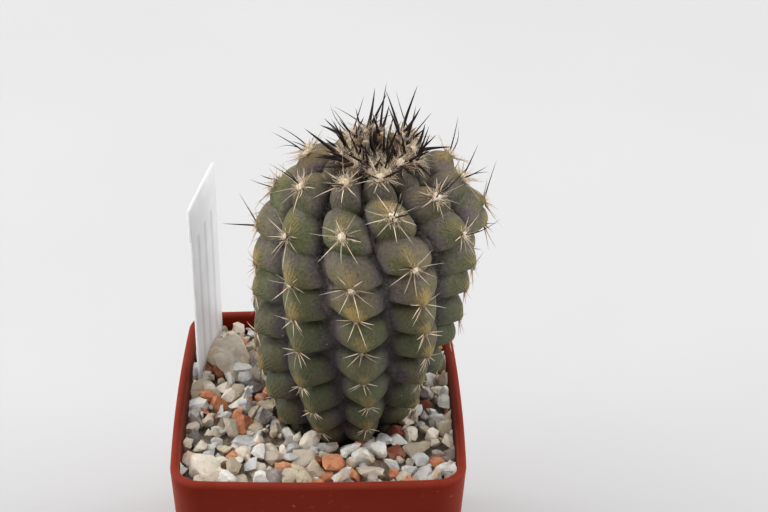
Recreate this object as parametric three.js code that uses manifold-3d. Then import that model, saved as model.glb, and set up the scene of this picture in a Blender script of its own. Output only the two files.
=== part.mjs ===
// A potted copiapoa cactus: a tuberculate stem in a square plastic pot, with a gravel top dressing
// and a plastic plant label. Millimetres, +Z up. The origin is the middle of the pot's underside,
// and the front of the pot faces -Y.
import * as THREE from 'three';
import { ParametricGeometry } from 'three/addons/geometries/ParametricGeometry.js';
import { mergeVertices } from 'three/addons/utils/BufferGeometryUtils.js';
import Module from 'manifold-3d';

const wasm = await Module();
wasm.setup();

// Pot: a standard 5.5 cm square cactus pot
const RIM_WIDTH = 55;
const POT_HEIGHT = 50;
const POT_WALL = 1.6;
const POT_FLOOR = 1.8;
const POT_CORNER = 6;
const SIDE_BOW = 0.55;
const WALL_LEAN = 0.035;
const FOOT_ROUND = 1;
const DRAIN_RADIUS = 3;
const DRAIN_OFFSET = 15;
const FIT_GAP = 0.3;

// Fillings of the pot
const MIX_TOP = 41.7;
const GRAVEL_BED_TOP = 46.1;
const GRAVEL_TOP = 50.5;
const GRAVEL_LEVEL = 47;

// Stem: the core surface, on which the tubercles are raised
const STEM_X = 4.4;
const STEM_LEAN = 0.114;
const CORE_RADIUS = 16.4;
const SHOULDER_HEIGHT = 84;
const CROWN_RISE = 16;
const CROWN_SQUARENESS = 2.4;
const WAIST = 0.0044;
const ROOT_RADIUS = 4;
const ROOT_DEPTH = 22;
const ROOT_TAPER_DEPTH = 15;

// Tubercles: ten ribs, each a column of tubercles that starts a little higher than the last.
// A level is the arc length along the core that an areole stands at.
const RIB_COUNT = 10;
const RIB_STEP = 360 / RIB_COUNT;
const RIB_START = -5.1;
const PITCH = 7;
const TURNS_OF_RISE = 3;
const FIRST_LEVEL = 35;
const FIRST_ROW = -12;
const LAST_ROW = 6;
const UPPER_CROWDING = 0.08;
const HEAD_LEAN = { sideways: 1.2, forwards: 3 };
const TUBERCLE_HEIGHT = 5;
const SMALLEST_TUBERCLE = 0.94;
const LARGEST_TUBERCLE = 1.06;
const FLANK_BEARING = 97;
const FLANK_WIDTH = 16;
const FLANK_SWELL = 0.36;
const LOWEST_LEVEL = 0.8;
const HIGHEST_LEVEL = 57;

// Spines
const LOWER_RADIAL_LENGTH = 4.6;
const UPPER_RADIAL_LENGTH = 6.6;
const RADIAL_TURNS = [-100, 0, 100];
const DARK_SPINE_LENGTH = 9;
const DARK_SPINE_LEVEL = 44;
const SPINE_RADIUS = 0.3;
const ROOT_SINK = 0.6;
const CROWN_SPINE_COUNT = 34;
const CROWN_SPINE_LENGTH = 11.5;
const CROWN_SPINE_RADIUS = 0.36;
const WOOL_RADIUS = 6.2;
const WOOL_RISE = 2.4;
const WOOL_UNEVENNESS = 0.08;

// Plant label
const LABEL_WIDTH = 18.9;
const LABEL_THICKNESS = 0.7;
const LABEL_TOP = 87.5;
const LABEL_STEP_HEIGHT = 80.5;
const LABEL_STEP = 0.7;
const LABEL_NECK = 44;
const LABEL_POINT = 14;
const LABEL_POINT_WIDTH = 3;
const LABEL_FOOT = [-24.4, 6.6];
const LABEL_TURN = 79.8;

// Stones of the top dressing: the largest ones as [x, y, width, depth], the rest by a draw
const LARGE_STONES = [
  [-18.7, 14.0, 8.4, 10.5],
  [-22.0, -20.2, 6.6, 6.2],
  [-2.5, -17.2, 5.2, 5.6],
  [3.2, -18.6, 4.8, 5.6],
  [9.3, -20.4, 5.2, 4.8],
  [19.0, -14.4, 5.6, 5.2],
  [15.0, -12.6, 3.8, 3.6],
];
const STONE_TRIES = 1400;
const STONE_MIN = 3.4;
const STONE_MAX = 5.6;
const STONE_PACKING = 0.98;
const STONE_WALL_CLEARANCE = 0.8;
const STONE_STEM_CLEARANCE = 13.2;

// Seeds of the repeatable draws
const TUBERCLE_SEED = 4959;
const SPINE_SEED = 28;
const CROWN_SEED = 37;
const STONE_PLACE_SEED = 5;
const STONE_SHAPE_SEED = 71;

const clamp = THREE.MathUtils.clamp;
const smooth = THREE.MathUtils.smoothstep;
const radians = THREE.MathUtils.degToRad;

// A repeatable stream of numbers from 0 to 1
function randomStream(seed) {
  let state = seed >>> 0;
  return () => {
    state = (Math.imul(state, 1664525) + 1013904223) >>> 0;
    return state / 4294967296;
  };
}

// A closed geometry as a solid: shared vertices are merged and flat triangles at poles dropped
function toSolid(geometry) {
  const bare = geometry.clone();
  bare.deleteAttribute('normal');
  bare.deleteAttribute('uv');
  const merged = mergeVertices(bare, 1e-4);
  const corners = merged.index.array;
  const kept = [];
  for (let i = 0; i < corners.length; i += 3) {
    const [a, b, c] = [corners[i], corners[i + 1], corners[i + 2]];
    if (a !== b && b !== c && c !== a) kept.push(a, b, c);
  }
  const vertProperties = new Float32Array(merged.attributes.position.array);
  const triVerts = new Uint32Array(kept);
  return new wasm.Manifold(new wasm.Mesh({ numProp: 3, vertProperties, triVerts }));
}

function joinAll(solids) {
  return solids.reduce((whole, next) => whole.add(next));
}

// The largest connected skin of a solid, so that loose scraps are dropped and sealed hollows filled
function largestBody(solid) {
  const { vertProperties, triVerts } = solid.getMesh();
  const leader = Array.from({ length: vertProperties.length / 3 }, (_, i) => i);
  const leaderOf = (i) => {
    while (leader[i] !== i) i = leader[i];
    return i;
  };
  for (let i = 0; i < triVerts.length; i += 3) {
    for (const j of [i + 1, i + 2]) {
      const [a, b] = [leaderOf(triVerts[i]), leaderOf(triVerts[j])];
      leader[Math.max(a, b)] = Math.min(a, b);
    }
  }
  const groups = new Map();
  for (let i = 0; i < triVerts.length; i += 3) {
    const key = leaderOf(triVerts[i]);
    if (!groups.has(key)) groups.set(key, []);
    groups.get(key).push(...triVerts.slice(i, i + 3));
  }
  const largest = [...groups.values()].reduce((a, b) => (b.length > a.length ? b : a));
  const mesh = new wasm.Mesh({ numProp: 3, vertProperties, triVerts: new Uint32Array(largest) });
  return new wasm.Manifold(mesh);
}

function toMesh(name, solid, look) {
  const { vertProperties, triVerts } = solid.getMesh();
  const geometry = new THREE.BufferGeometry();
  geometry.setAttribute('position', new THREE.BufferAttribute(vertProperties, 3));
  geometry.setIndex(new THREE.BufferAttribute(triVerts, 1));
  geometry.computeVertexNormals();
  const mesh = new THREE.Mesh(geometry, new THREE.MeshStandardMaterial(look));
  mesh.name = name;
  return mesh;
}

// A point of the pot's outline: four bowed sides and four round corners, run anticlockwise
const SIDE_STEPS = 4;
const CORNER_STEPS = 4;
const OUTLINE_STEPS = 4 * (SIDE_STEPS + CORNER_STEPS);

function outlinePoint(step, halfWidth, corner, bow) {
  const perQuarter = SIDE_STEPS + CORNER_STEPS;
  const quarter = Math.floor(step / perQuarter);
  const place = step % perQuarter;
  const reach = halfWidth - corner;
  const point = new THREE.Vector2();
  if (place < SIDE_STEPS) {
    const along = (2 * place) / SIDE_STEPS - 1;
    point.set(along * reach, -halfWidth - bow * (1 - along * along));
  } else {
    const turn = ((place - SIDE_STEPS) / CORNER_STEPS) * (Math.PI / 2) - Math.PI / 2;
    point.set(reach + corner * Math.cos(turn), -reach + corner * Math.sin(turn));
  }
  return point.rotateAround(new THREE.Vector2(), (quarter * Math.PI) / 2);
}

// The outline at height z, moved in by inset from the pot's outer face, and shrunk by scale
function potPoint(step, { inset, z, scale = 1 }) {
  const halfWidth = RIM_WIDTH / 2 - WALL_LEAN * (POT_HEIGHT - z) - inset;
  const bow = (SIDE_BOW * clamp(z, 0, POT_HEIGHT)) / POT_HEIGHT;
  return outlinePoint(step, halfWidth, POT_CORNER - inset, bow).multiplyScalar(scale);
}

// A closed skin through rings of the pot's outline. The first and last rings shrink to a point.
function ringSolid(rings) {
  const surface = (u, v, target) => {
    const step = Math.round(u * OUTLINE_STEPS) % OUTLINE_STEPS;
    const ring = rings[Math.round(v * (rings.length - 1))];
    const point = potPoint(step, ring);
    target.set(point.x, point.y, ring.z);
  };
  return toSolid(new ParametricGeometry(surface, OUTLINE_STEPS, rings.length - 1));
}

function prism(inset, low, high) {
  return ringSolid([
    { inset, z: low, scale: 0 },
    { inset, z: low },
    { inset, z: high },
    { inset, z: high, scale: 0 },
  ]);
}

// Pot: a tapered square cup with a round-edged rim and four drain holes
function makePot() {
  const rings = [
    { inset: 0, z: 0, scale: 0 },
    { inset: FOOT_ROUND, z: 0 },
    { inset: 0.3 * FOOT_ROUND, z: 0.3 * FOOT_ROUND },
    { inset: 0, z: FOOT_ROUND },
    { inset: 0, z: POT_HEIGHT / 2 },
  ];
  const rimRound = POT_WALL / 2;
  const rimSteps = 4;
  for (let i = 0; i <= rimSteps; i++) {
    const turn = (i / rimSteps) * Math.PI;
    const inset = rimRound * (1 - Math.cos(turn));
    rings.push({ inset, z: POT_HEIGHT - rimRound * (1 - Math.sin(turn)) });
  }
  rings.push({ inset: POT_WALL, z: POT_HEIGHT / 2 });
  rings.push({ inset: POT_WALL, z: POT_FLOOR });
  rings.push({ inset: POT_WALL, z: POT_FLOOR, scale: 0 });
  let pot = ringSolid(rings);
  for (const [x, y] of [[1, 1], [-1, 1], [-1, -1], [1, -1]]) {
    const drill = new THREE.CylinderGeometry(DRAIN_RADIUS, DRAIN_RADIUS, 4 * POT_FLOOR, 12);
    drill.rotateX(Math.PI / 2);
    drill.translate(x * DRAIN_OFFSET, y * DRAIN_OFFSET, POT_FLOOR);
    pot = pot.subtract(toSolid(drill));
  }
  return pot;
}

// Stem core, from the root's tip to the crown, as [radius, height] with the arc length along it.
// Arc length is zero at the gravel, so the root has negative arc lengths.
function makeCoreProfile() {
  const samples = [[0, GRAVEL_LEVEL - ROOT_DEPTH], [0.7 * ROOT_RADIUS, GRAVEL_LEVEL - ROOT_DEPTH]];
  const step = 0.25;
  for (let z = GRAVEL_LEVEL - ROOT_DEPTH + 1; z < SHOULDER_HEIGHT; z += step) {
    const above = Math.max(z, GRAVEL_LEVEL);
    const body = CORE_RADIUS - WAIST * (SHOULDER_HEIGHT - above) ** 2;
    const sunk = clamp((GRAVEL_LEVEL - z) / ROOT_TAPER_DEPTH, 0, 1);
    const blend = (1 + Math.cos(Math.PI * sunk)) / 2;
    samples.push([ROOT_RADIUS + (body - ROOT_RADIUS) * blend, z]);
  }
  const crownSteps = 200;
  for (let i = 0; i <= crownSteps; i++) {
    const turn = (i / crownSteps) * (Math.PI / 2);
    const r = CORE_RADIUS * Math.max(Math.cos(turn), 0) ** (2 / CROWN_SQUARENESS);
    const z = SHOULDER_HEIGHT + CROWN_RISE * Math.sin(turn) ** (2 / CROWN_SQUARENESS);
    samples.push([i === crownSteps ? 0 : r, z]);
  }
  const arcs = [0];
  for (let i = 1; i < samples.length; i++) {
    const [r0, z0] = samples[i - 1];
    const [r1, z1] = samples[i];
    arcs.push(arcs[i - 1] + Math.hypot(r1 - r0, z1 - z0));
  }
  const gravelSample = samples.findIndex(([, z]) => z >= GRAVEL_LEVEL);
  const zero = arcs[gravelSample];
  return { samples, arcs: arcs.map((arc) => arc - zero) };
}

const core = makeCoreProfile();
const ROOT_TIP_ARC = core.arcs[0];
const APEX_ARC = core.arcs[core.arcs.length - 1];

function coreAt(arc) {
  const { samples, arcs } = core;
  let i = arcs.findIndex((value) => value >= arc);
  if (i < 0) i = arcs.length - 1;
  i = Math.max(i, 1);
  const t = clamp((arc - arcs[i - 1]) / (arcs[i] - arcs[i - 1]), 0, 1);
  const [r0, z0] = samples[i - 1];
  const [r1, z1] = samples[i];
  return [r0 + (r1 - r0) * t, z0 + (z1 - z0) * t];
}

// How far the tubercles stand out, and how far they nod down, at an arc length
function tubercleHeight(arc) {
  return TUBERCLE_HEIGHT * smooth(arc, -10, 12) * (1 - smooth(arc, 56, 62));
}

function tubercleNod(arc) {
  return radians(9 - 6 * smooth(arc, 28, 58));
}

// The ribs wind to the left as they climb, faster over the shoulder
function ribTwist(arc) {
  const over = Math.max(arc - 36, 0);
  return -0.74 * (arc - 36) - 0.044 * over * over;
}

// Core position and the directions out of it and up along it, in the plane of the stem's axis
function coreFrame(arc) {
  const [r, z] = coreAt(arc);
  const [rBelow, zBelow] = coreAt(Math.max(arc - 0.6, ROOT_TIP_ARC));
  const [rAbove, zAbove] = coreAt(Math.min(arc + 0.6, APEX_ARC));
  const along = new THREE.Vector2(rAbove - rBelow, zAbove - zBelow).normalize();
  const nod = tubercleNod(arc);
  const out = new THREE.Vector2(along.y, -along.x);
  const outNodded = out.clone().multiplyScalar(Math.cos(nod));
  outNodded.addScaledVector(along, -Math.sin(nod));
  return { r, z, out: outNodded, up: new THREE.Vector2(-outNodded.y, outNodded.x) };
}

// A place at radius, bearing and height about the leaning axis. Bearing 0 faces the front.
function placeOnAxis(r, bearing, z, target = new THREE.Vector3()) {
  const x = STEM_X + STEM_LEAN * (z - GRAVEL_LEVEL);
  return target.set(x + r * Math.sin(bearing), -r * Math.cos(bearing), z);
}

// A solid of revolution about the leaning axis, from [radius, height] points that start and end
// on it. Five shallow flutes make it uneven where that is asked for.
function turnedOnAxis(profile, segments, unevenness = 0) {
  const lathe = new THREE.LatheGeometry(profile.map(([r, z]) => new THREE.Vector2(r, z)), segments);
  lathe.rotateX(Math.PI / 2);
  const spots = lathe.attributes.position;
  for (let i = 0; i < spots.count; i++) {
    const [x, y, z] = [spots.getX(i), spots.getY(i), spots.getZ(i)];
    const flute = 1 - unevenness * (1 - Math.cos(5 * Math.atan2(y, x)));
    spots.setXYZ(i, x * flute + STEM_X + STEM_LEAN * (z - GRAVEL_LEVEL), y * flute, z);
  }
  return toSolid(lathe);
}

// How near a tubercle is to the right shoulder's flank, where the largest ones stand, from 0 to 1
function onFlank(bearing, arc) {
  const aside = wrapDegrees(bearing - FLANK_BEARING) / FLANK_WIDTH;
  return Math.exp(-(aside ** 2)) * smooth(arc, 33, 38) * (1 - smooth(arc, 43, 48));
}

// Every tubercle: its bearing in degrees, the arc length of its root and its size, with a little of
// nature's disorder. The head leans, so the upper levels differ round the stem. Tubercles without
// an areole carry the ribs on under the gravel and into the crown.
function makeTubercles() {
  const random = randomStream(TUBERCLE_SEED);
  const list = [];
  for (let rib = 0; rib < RIB_COUNT; rib++) {
    const ribBearing = RIB_START + rib * RIB_STEP;
    const sideways = HEAD_LEAN.sideways * Math.sin(radians(ribBearing));
    const lean = sideways + HEAD_LEAN.forwards * (Math.cos(radians(ribBearing)) - 1);
    const ribLevel = FIRST_LEVEL + (rib * TURNS_OF_RISE * PITCH) / RIB_COUNT;
    for (let row = FIRST_ROW; row <= LAST_ROW; row++) {
      let level = ribLevel + row * PITCH + 1.6 * (random() - 0.5);
      level -= UPPER_CROWDING * Math.max(level - FIRST_LEVEL, 0);
      level += lean * smooth(level, 34, 52);
      const wander = 5 * (random() - 0.5);
      const drawn = SMALLEST_TUBERCLE + (LARGEST_TUBERCLE - SMALLEST_TUBERCLE) * random();
      if (level < -9 || level > 62) continue;
      const arc = level + tubercleHeight(level) * Math.sin(tubercleNod(level));
      const bearing = ribBearing + ribTwist(arc) + wander;
      const size = drawn * (1 + FLANK_SWELL * onFlank(bearing, arc));
      const hasAreole = level >= LOWEST_LEVEL && level <= HIGHEST_LEVEL;
      list.push({ arc, bearing, size, hasAreole, youth: smooth(arc, 38, 53) });
    }
  }
  return list;
}

const tubercles = makeTubercles();

function wrapDegrees(angle) {
  return angle - 360 * Math.round(angle / 360);
}

// Relief of one tubercle: across in rib widths, rise in pitches above the areole. An old tubercle
// is a round bolster across the rib, highest on the rib's crest and with its middle above the
// areole. A young one is a rounded box. A blunt nose stands at the areole, and a low ridge joins
// the tubercle to the next ones along the rib.
function tubercleForm(across, rise, youth) {
  const side = Math.abs(across) / 0.5;
  const lifted = rise - 0.22 * (1 - youth);
  const reach = (lifted > 0 ? 0.52 : 0.44) * (1 - 0.3 * Math.min(side, 1.2) ** 2);
  const along = Math.sqrt(Math.max(1 - (Math.abs(lifted) / reach) ** 2.2, 0));
  const bolster = along * Math.max(1 - 0.8 * side ** 1.4, 0);
  const far = ((side / 1.06) ** 2.8 + (Math.abs(lifted) / 0.52) ** 2.8) ** (1 / 2.8);
  const box = Math.max(1 - far * far, 0) ** 0.52;
  const nose = 0.08 * Math.exp(-((across / 0.14) ** 2) - (rise / 0.2) ** 2);
  const ridge = Math.abs(lifted) < 0.6 ? 0.14 * Math.max(1 - side * side, 0) : 0;
  const form = (1 - youth) * bolster + youth * box;
  return Math.max(0.92 * form + nose, ridge);
}

// Relief of the stem at a bearing and arc length: the highest of the tubercles that reach it
function relief(bearing, arc) {
  let height = 0;
  for (const tubercle of tubercles) {
    const rise = (arc - tubercle.arc) / PITCH;
    if (Math.abs(rise) > 1) continue;
    const windHere = ribTwist(arc) - ribTwist(tubercle.arc);
    const across = wrapDegrees(bearing - tubercle.bearing - windHere) / RIB_STEP;
    if (Math.abs(across) > 0.6) continue;
    height = Math.max(height, tubercle.size * tubercleForm(across, rise, tubercle.youth));
  }
  return height;
}

// Stem surface: the core moved out along its nodding direction by the relief
function stemPoint(bearing, arc, target) {
  const { r, z, out } = coreFrame(arc);
  const height = tubercleHeight(arc) * relief(bearing, arc);
  return placeOnAxis(r + height * out.x, radians(bearing), z + height * out.y, target);
}

// Arc lengths of the stem's rows: wide steps down the root, then an even fine step
function stemRows() {
  const rows = [ROOT_TIP_ARC, ROOT_TIP_ARC + 0.7 * ROOT_RADIUS];
  const rootSteps = 5;
  const firstFine = -3;
  for (let i = 1; i < rootSteps; i++) {
    const start = rows[1];
    rows.push(start + ((firstFine - start) * i) / rootSteps);
  }
  const fineSteps = 46;
  const lastFine = APEX_ARC - 3;
  for (let i = 0; i <= fineSteps; i++) {
    rows.push(firstFine + ((lastFine - firstFine) * i) / fineSteps);
  }
  rows.push(APEX_ARC);
  return rows;
}

function makeStemBody() {
  const rows = stemRows();
  const columns = 6 * RIB_COUNT;
  const surface = (u, v, target) => {
    const arc = rows[Math.round(v * (rows.length - 1))];
    const column = Math.round(u * columns) % columns;
    stemPoint(RIB_START + (360 * column) / columns + ribTwist(arc), arc, target);
  };
  return toSolid(new ParametricGeometry(surface, columns, rows.length - 1));
}

// A direction that tilts from upright towards a bearing
function tiltedDirection(tilt, bearing) {
  return new THREE.Vector3(
    Math.sin(tilt) * Math.sin(bearing),
    -Math.sin(tilt) * Math.cos(bearing),
    Math.cos(tilt),
  );
}

// A three-sided needle from its sunk root
function needle(root, direction, length, radius) {
  const cone = new THREE.ConeGeometry(radius, length, 3);
  cone.translate(0, length / 2, 0);
  const upright = new THREE.Vector3(0, 1, 0);
  cone.applyQuaternion(new THREE.Quaternion().setFromUnitVectors(upright, direction));
  cone.translate(root.x, root.y, root.z);
  return toSolid(cone);
}

// The areole of a tubercle, with directions out of, up along and across the tubercle
function areoleAt(tubercle) {
  const bearing = radians(tubercle.bearing);
  const { r, z, out, up } = coreFrame(tubercle.arc);
  const height = tubercleHeight(tubercle.arc) * tubercle.size * tubercleForm(0, 0, tubercle.youth);
  const foot = placeOnAxis(r + height * out.x, bearing, z + height * out.y);
  const inSpace = (flat) => new THREE.Vector3(
    flat.x * Math.sin(bearing),
    -flat.x * Math.cos(bearing),
    flat.y,
  );
  const side = new THREE.Vector3(Math.cos(bearing), Math.sin(bearing), 0);
  const root = foot.clone().addScaledVector(inSpace(out), -ROOT_SINK);
  return { root, out: inSpace(out), up: inSpace(up), side };
}

// A direction that leaves the areole at a turn from straight down, raised from the skin
function spineDirection({ out, up, side }, turn, raise) {
  const direction = new THREE.Vector3();
  direction.addScaledVector(up, -Math.cos(radians(turn)) * Math.cos(radians(raise)));
  direction.addScaledVector(side, Math.sin(radians(turn)) * Math.cos(radians(raise)));
  direction.addScaledVector(out, Math.sin(radians(raise)));
  return direction.normalize();
}

// Radial spines fan down and sideways from each areole, wider and longer on the upper ones. The
// uppermost areoles have one dark spine too. No spine dips into the gravel.
function makeStemSpines() {
  const random = randomStream(SPINE_SEED);
  const needles = [];
  for (const tubercle of tubercles.filter(({ hasAreole }) => hasAreole)) {
    const areole = areoleAt(tubercle);
    const youth = smooth(tubercle.arc, 24, 50);
    const usual = LOWER_RADIAL_LENGTH + (UPPER_RADIAL_LENGTH - LOWER_RADIAL_LENGTH) * youth;
    for (const turn of RADIAL_TURNS) {
      const swing = turn * (0.85 + 0.45 * youth) + 16 * (random() - 0.5);
      const raise = 20 + 12 * random();
      const length = usual * (0.85 + 0.3 * random());
      let direction = spineDirection(areole, swing, raise);
      const dips = areole.root.z + length * direction.z < GRAVEL_TOP;
      if (dips && turn !== 0) direction = spineDirection(areole, Math.sign(turn) * 110, raise);
      if (areole.root.z + length * direction.z < GRAVEL_TOP) continue;
      needles.push(needle(areole.root, direction, length, SPINE_RADIUS));
    }
    if (tubercle.arc < DARK_SPINE_LEVEL) continue;
    const tilt = 50 + 1.5 * (HIGHEST_LEVEL - tubercle.arc) + 10 * random();
    const bearing = tubercle.bearing + 20 * (random() - 0.5);
    const length = DARK_SPINE_LENGTH * (0.8 + 0.4 * random());
    const direction = tiltedDirection(radians(tilt), radians(bearing));
    needles.push(needle(areole.root, direction, length, SPINE_RADIUS));
  }
  return needles;
}

function makeStem() {
  return largestBody(joinAll([makeStemBody(), ...makeStemSpines()]));
}

// Height of the stem's top surface at a radius near the crown, with the tubercles at full height
function crownSkin(r) {
  let arc = APEX_ARC;
  while (coreAt(arc)[0] < r) arc -= 0.1;
  return coreAt(arc)[1] + LARGEST_TUBERCLE * tubercleHeight(arc);
}

// Crown: a woolly cushion in the dimple between the youngest tubercles, and its dark spines, which
// stand on a golden-angle spiral and spread outwards
function makeCrown() {
  const under = [];
  const rimSteps = 5;
  for (let i = 0; i <= rimSteps; i++) {
    const r = (WOOL_RADIUS * i) / rimSteps;
    under.push([r, crownSkin(r) + FIT_GAP]);
  }
  const rimHeight = under[rimSteps][1];
  const over = [];
  for (let i = 1; i <= rimSteps; i++) {
    const turn = (i / rimSteps) * (Math.PI / 2);
    const lift = FIT_GAP + WOOL_RISE * Math.sin(turn);
    over.push([i === rimSteps ? 0 : WOOL_RADIUS * Math.cos(turn), rimHeight + lift]);
  }
  const cushion = turnedOnAxis([...under, ...over], 20, WOOL_UNEVENNESS);
  const random = randomStream(CROWN_SEED);
  const goldenAngle = 137.5;
  const needles = [];
  for (let i = 0; i < CROWN_SPINE_COUNT; i++) {
    const outward = Math.sqrt((i + 0.5) / CROWN_SPINE_COUNT);
    const bearing = radians(i * goldenAngle);
    const tilt = radians(4 + 40 * outward + 16 * (random() - 0.5));
    const skew = bearing + 0.9 * (random() - 0.5);
    const r = 0.72 * WOOL_RADIUS * outward;
    const root = placeOnAxis(r, bearing, rimHeight + 0.6 * WOOL_RISE);
    const length = CROWN_SPINE_LENGTH * (0.72 + 0.4 * random());
    needles.push(needle(root, tiltedDirection(tilt, skew), length, CROWN_SPINE_RADIUS));
  }
  return joinAll([cushion, ...needles]);
}

// The plain round hole that the stem stands in, wide enough for its tubercles
function stemHole() {
  const profile = [[0, GRAVEL_LEVEL - ROOT_DEPTH - FIT_GAP]];
  for (const arc of stemRows().filter((value) => value > ROOT_TIP_ARC && value < 12)) {
    const { r, z, out } = coreFrame(arc);
    const height = tubercleHeight(arc) * LARGEST_TUBERCLE;
    const last = profile[profile.length - 1];
    const wide = Math.max(r + height * out.x + FIT_GAP + 0.1, last[0] + 0.01);
    const high = Math.max(z - FIT_GAP, last[1]);
    profile.push([wide, high]);
  }
  profile.push([0, profile[profile.length - 1][1]]);
  return turnedOnAxis(profile, 28);
}

// Label outline in its own plane: a square head, a small step in, and a point that is pushed down
function labelSolid(clear) {
  const outline = new THREE.Shape();
  const half = LABEL_WIDTH / 2;
  const halfPoint = LABEL_POINT_WIDTH / 2;
  outline.moveTo(-halfPoint - clear, LABEL_POINT - clear);
  outline.lineTo(halfPoint + clear, LABEL_POINT - clear);
  outline.lineTo(half + clear, LABEL_NECK);
  outline.lineTo(half + clear, LABEL_TOP + clear);
  outline.lineTo(-half - clear, LABEL_TOP + clear);
  outline.lineTo(-half - clear, LABEL_STEP_HEIGHT);
  outline.lineTo(-half + LABEL_STEP - clear, LABEL_STEP_HEIGHT - LABEL_STEP);
  outline.lineTo(-half + LABEL_STEP - clear, LABEL_NECK);
  outline.closePath();
  const depth = LABEL_THICKNESS + 2 * clear;
  const plate = new THREE.ExtrudeGeometry(outline, { depth, bevelEnabled: false });
  plate.translate(half, 0, -depth / 2);
  plate.rotateX(Math.PI / 2);
  plate.rotateZ(radians(LABEL_TURN));
  plate.translate(LABEL_FOOT[0], LABEL_FOOT[1], 0);
  return toSolid(plate);
}

// Potting mix: the block of soil that fills the pot, with the root's hole and the label's slot
function makeMix() {
  const block = prism(POT_WALL + FIT_GAP, POT_FLOOR + FIT_GAP, MIX_TOP);
  return block.subtract(stemHole()).subtract(labelSolid(FIT_GAP));
}

// One angular stone: a rough lump with its faces jittered
function stone(random, x, y, width, depth) {
  const lump = new THREE.IcosahedronGeometry(0.5, 0);
  const merged = lump.attributes.position;
  const shifts = new Map();
  for (let i = 0; i < merged.count; i++) {
    const corner = new THREE.Vector3().fromBufferAttribute(merged, i);
    const key = corner.toArray().map((value) => value.toFixed(3)).join();
    if (!shifts.has(key)) shifts.set(key, 0.8 + 0.42 * random());
    corner.multiplyScalar(shifts.get(key));
    merged.setXYZ(i, corner.x, corner.y, corner.z);
  }
  lump.rotateX(Math.PI * random());
  lump.rotateZ(2 * Math.PI * random());
  const height = 0.72 * Math.min(width, depth) * (0.9 + 0.3 * random());
  lump.scale(width, depth, height);
  lump.rotateX(0.35 * (random() - 0.5));
  lump.rotateY(0.35 * (random() - 0.5));
  lump.translate(x, y, GRAVEL_LEVEL - 0.22 * height + 0.9 * (random() - 0.5));
  return toSolid(lump);
}

// Places of the stones: the large ones, then a seeded draw that keeps clear of those laid before
function layStones() {
  const random = randomStream(STONE_PLACE_SEED);
  const laid = LARGE_STONES.map(([x, y, width, depth]) => ({ x, y, width, depth }));
  const reach = RIM_WIDTH / 2 - POT_WALL - STONE_WALL_CLEARANCE;
  for (let i = 0; i < STONE_TRIES; i++) {
    const x = reach * (2 * random() - 1);
    const y = reach * (2 * random() - 1);
    const size = STONE_MIN + (STONE_MAX - STONE_MIN) * random() ** 1.6;
    if (Math.hypot(x - STEM_X, y) < STONE_STEM_CLEARANCE) continue;
    const crowded = laid.some((other) => {
      const apart = Math.hypot(x - other.x, y - other.y);
      return apart < STONE_PACKING * 0.5 * (size + 0.5 * (other.width + other.depth));
    });
    if (crowded) continue;
    laid.push({ x, y, width: size, depth: size * (0.75 + 0.3 * random()) });
  }
  return laid;
}

// Gravel: a bed of fine grit with the stones half sunk in it, trimmed at the pot, stem and label
function makeGravel() {
  const random = randomStream(STONE_SHAPE_SEED);
  const bed = prism(POT_WALL + FIT_GAP, MIX_TOP + FIT_GAP, GRAVEL_BED_TOP);
  const stones = layStones().map(({ x, y, width, depth }) => stone(random, x, y, width, depth));
  const room = prism(POT_WALL + FIT_GAP, MIX_TOP + FIT_GAP, GRAVEL_TOP + 1);
  const heap = joinAll([bed, ...stones]).intersect(room);
  return largestBody(heap.subtract(stemHole()).subtract(labelSolid(FIT_GAP)));
}

const cactus = new THREE.Group();
cactus.add(toMesh('pot', makePot(), { color: 0x8e3022, roughness: 0.45, metalness: 0 }));
cactus.add(toMesh('potting_mix', makeMix(), { color: 0x3d3028, roughness: 0.95, metalness: 0 }));
cactus.add(toMesh('gravel', makeGravel(), { color: 0xc9bda8, roughness: 0.85, metalness: 0 }));
cactus.add(toMesh('stem', makeStem(), { color: 0x565a38, roughness: 0.6, metalness: 0 }));
cactus.add(toMesh('crown', makeCrown(), { color: 0x3a2620, roughness: 0.7, metalness: 0 }));
cactus.add(toMesh('plant_label', labelSolid(0), { color: 0xe9eaec, roughness: 0.5, metalness: 0 }));

export default cactus;
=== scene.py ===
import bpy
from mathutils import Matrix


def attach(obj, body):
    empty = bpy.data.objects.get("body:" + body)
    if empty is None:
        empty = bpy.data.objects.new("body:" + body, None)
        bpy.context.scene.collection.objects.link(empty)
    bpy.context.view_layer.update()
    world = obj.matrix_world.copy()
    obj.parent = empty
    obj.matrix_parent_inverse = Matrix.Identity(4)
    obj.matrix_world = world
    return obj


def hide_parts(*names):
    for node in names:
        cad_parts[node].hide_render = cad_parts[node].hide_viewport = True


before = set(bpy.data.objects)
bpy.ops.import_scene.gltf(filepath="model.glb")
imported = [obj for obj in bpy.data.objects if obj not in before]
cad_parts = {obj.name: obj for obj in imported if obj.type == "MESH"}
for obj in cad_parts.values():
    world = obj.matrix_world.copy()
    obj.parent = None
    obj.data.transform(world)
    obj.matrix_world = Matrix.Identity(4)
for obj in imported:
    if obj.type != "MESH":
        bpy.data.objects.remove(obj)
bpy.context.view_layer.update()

import math

import bmesh
import bpy
import numpy as np
from mathutils import Matrix, Vector

# A potted copiapoa cactus in a square plastic pot. Shapes are worked out in millimetres, in the
# part's own frame: +Z up, the origin under the middle of the pot, the front towards -Y.
MM = 0.001

# Pot
RIM_WIDTH = 55
POT_HEIGHT = 50
SIDE_STEPS = 24
CORNER_STEPS = 14
POT_WALL = 1.6
POT_FLOOR = 1.8
POT_CORNER = 6
SIDE_BOW = 0.55
WALL_LEAN = 0.035
FOOT_ROUND = 1
DRAIN_RADIUS = 3
DRAIN_OFFSET = 15
FIT_GAP = 0.3

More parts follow.
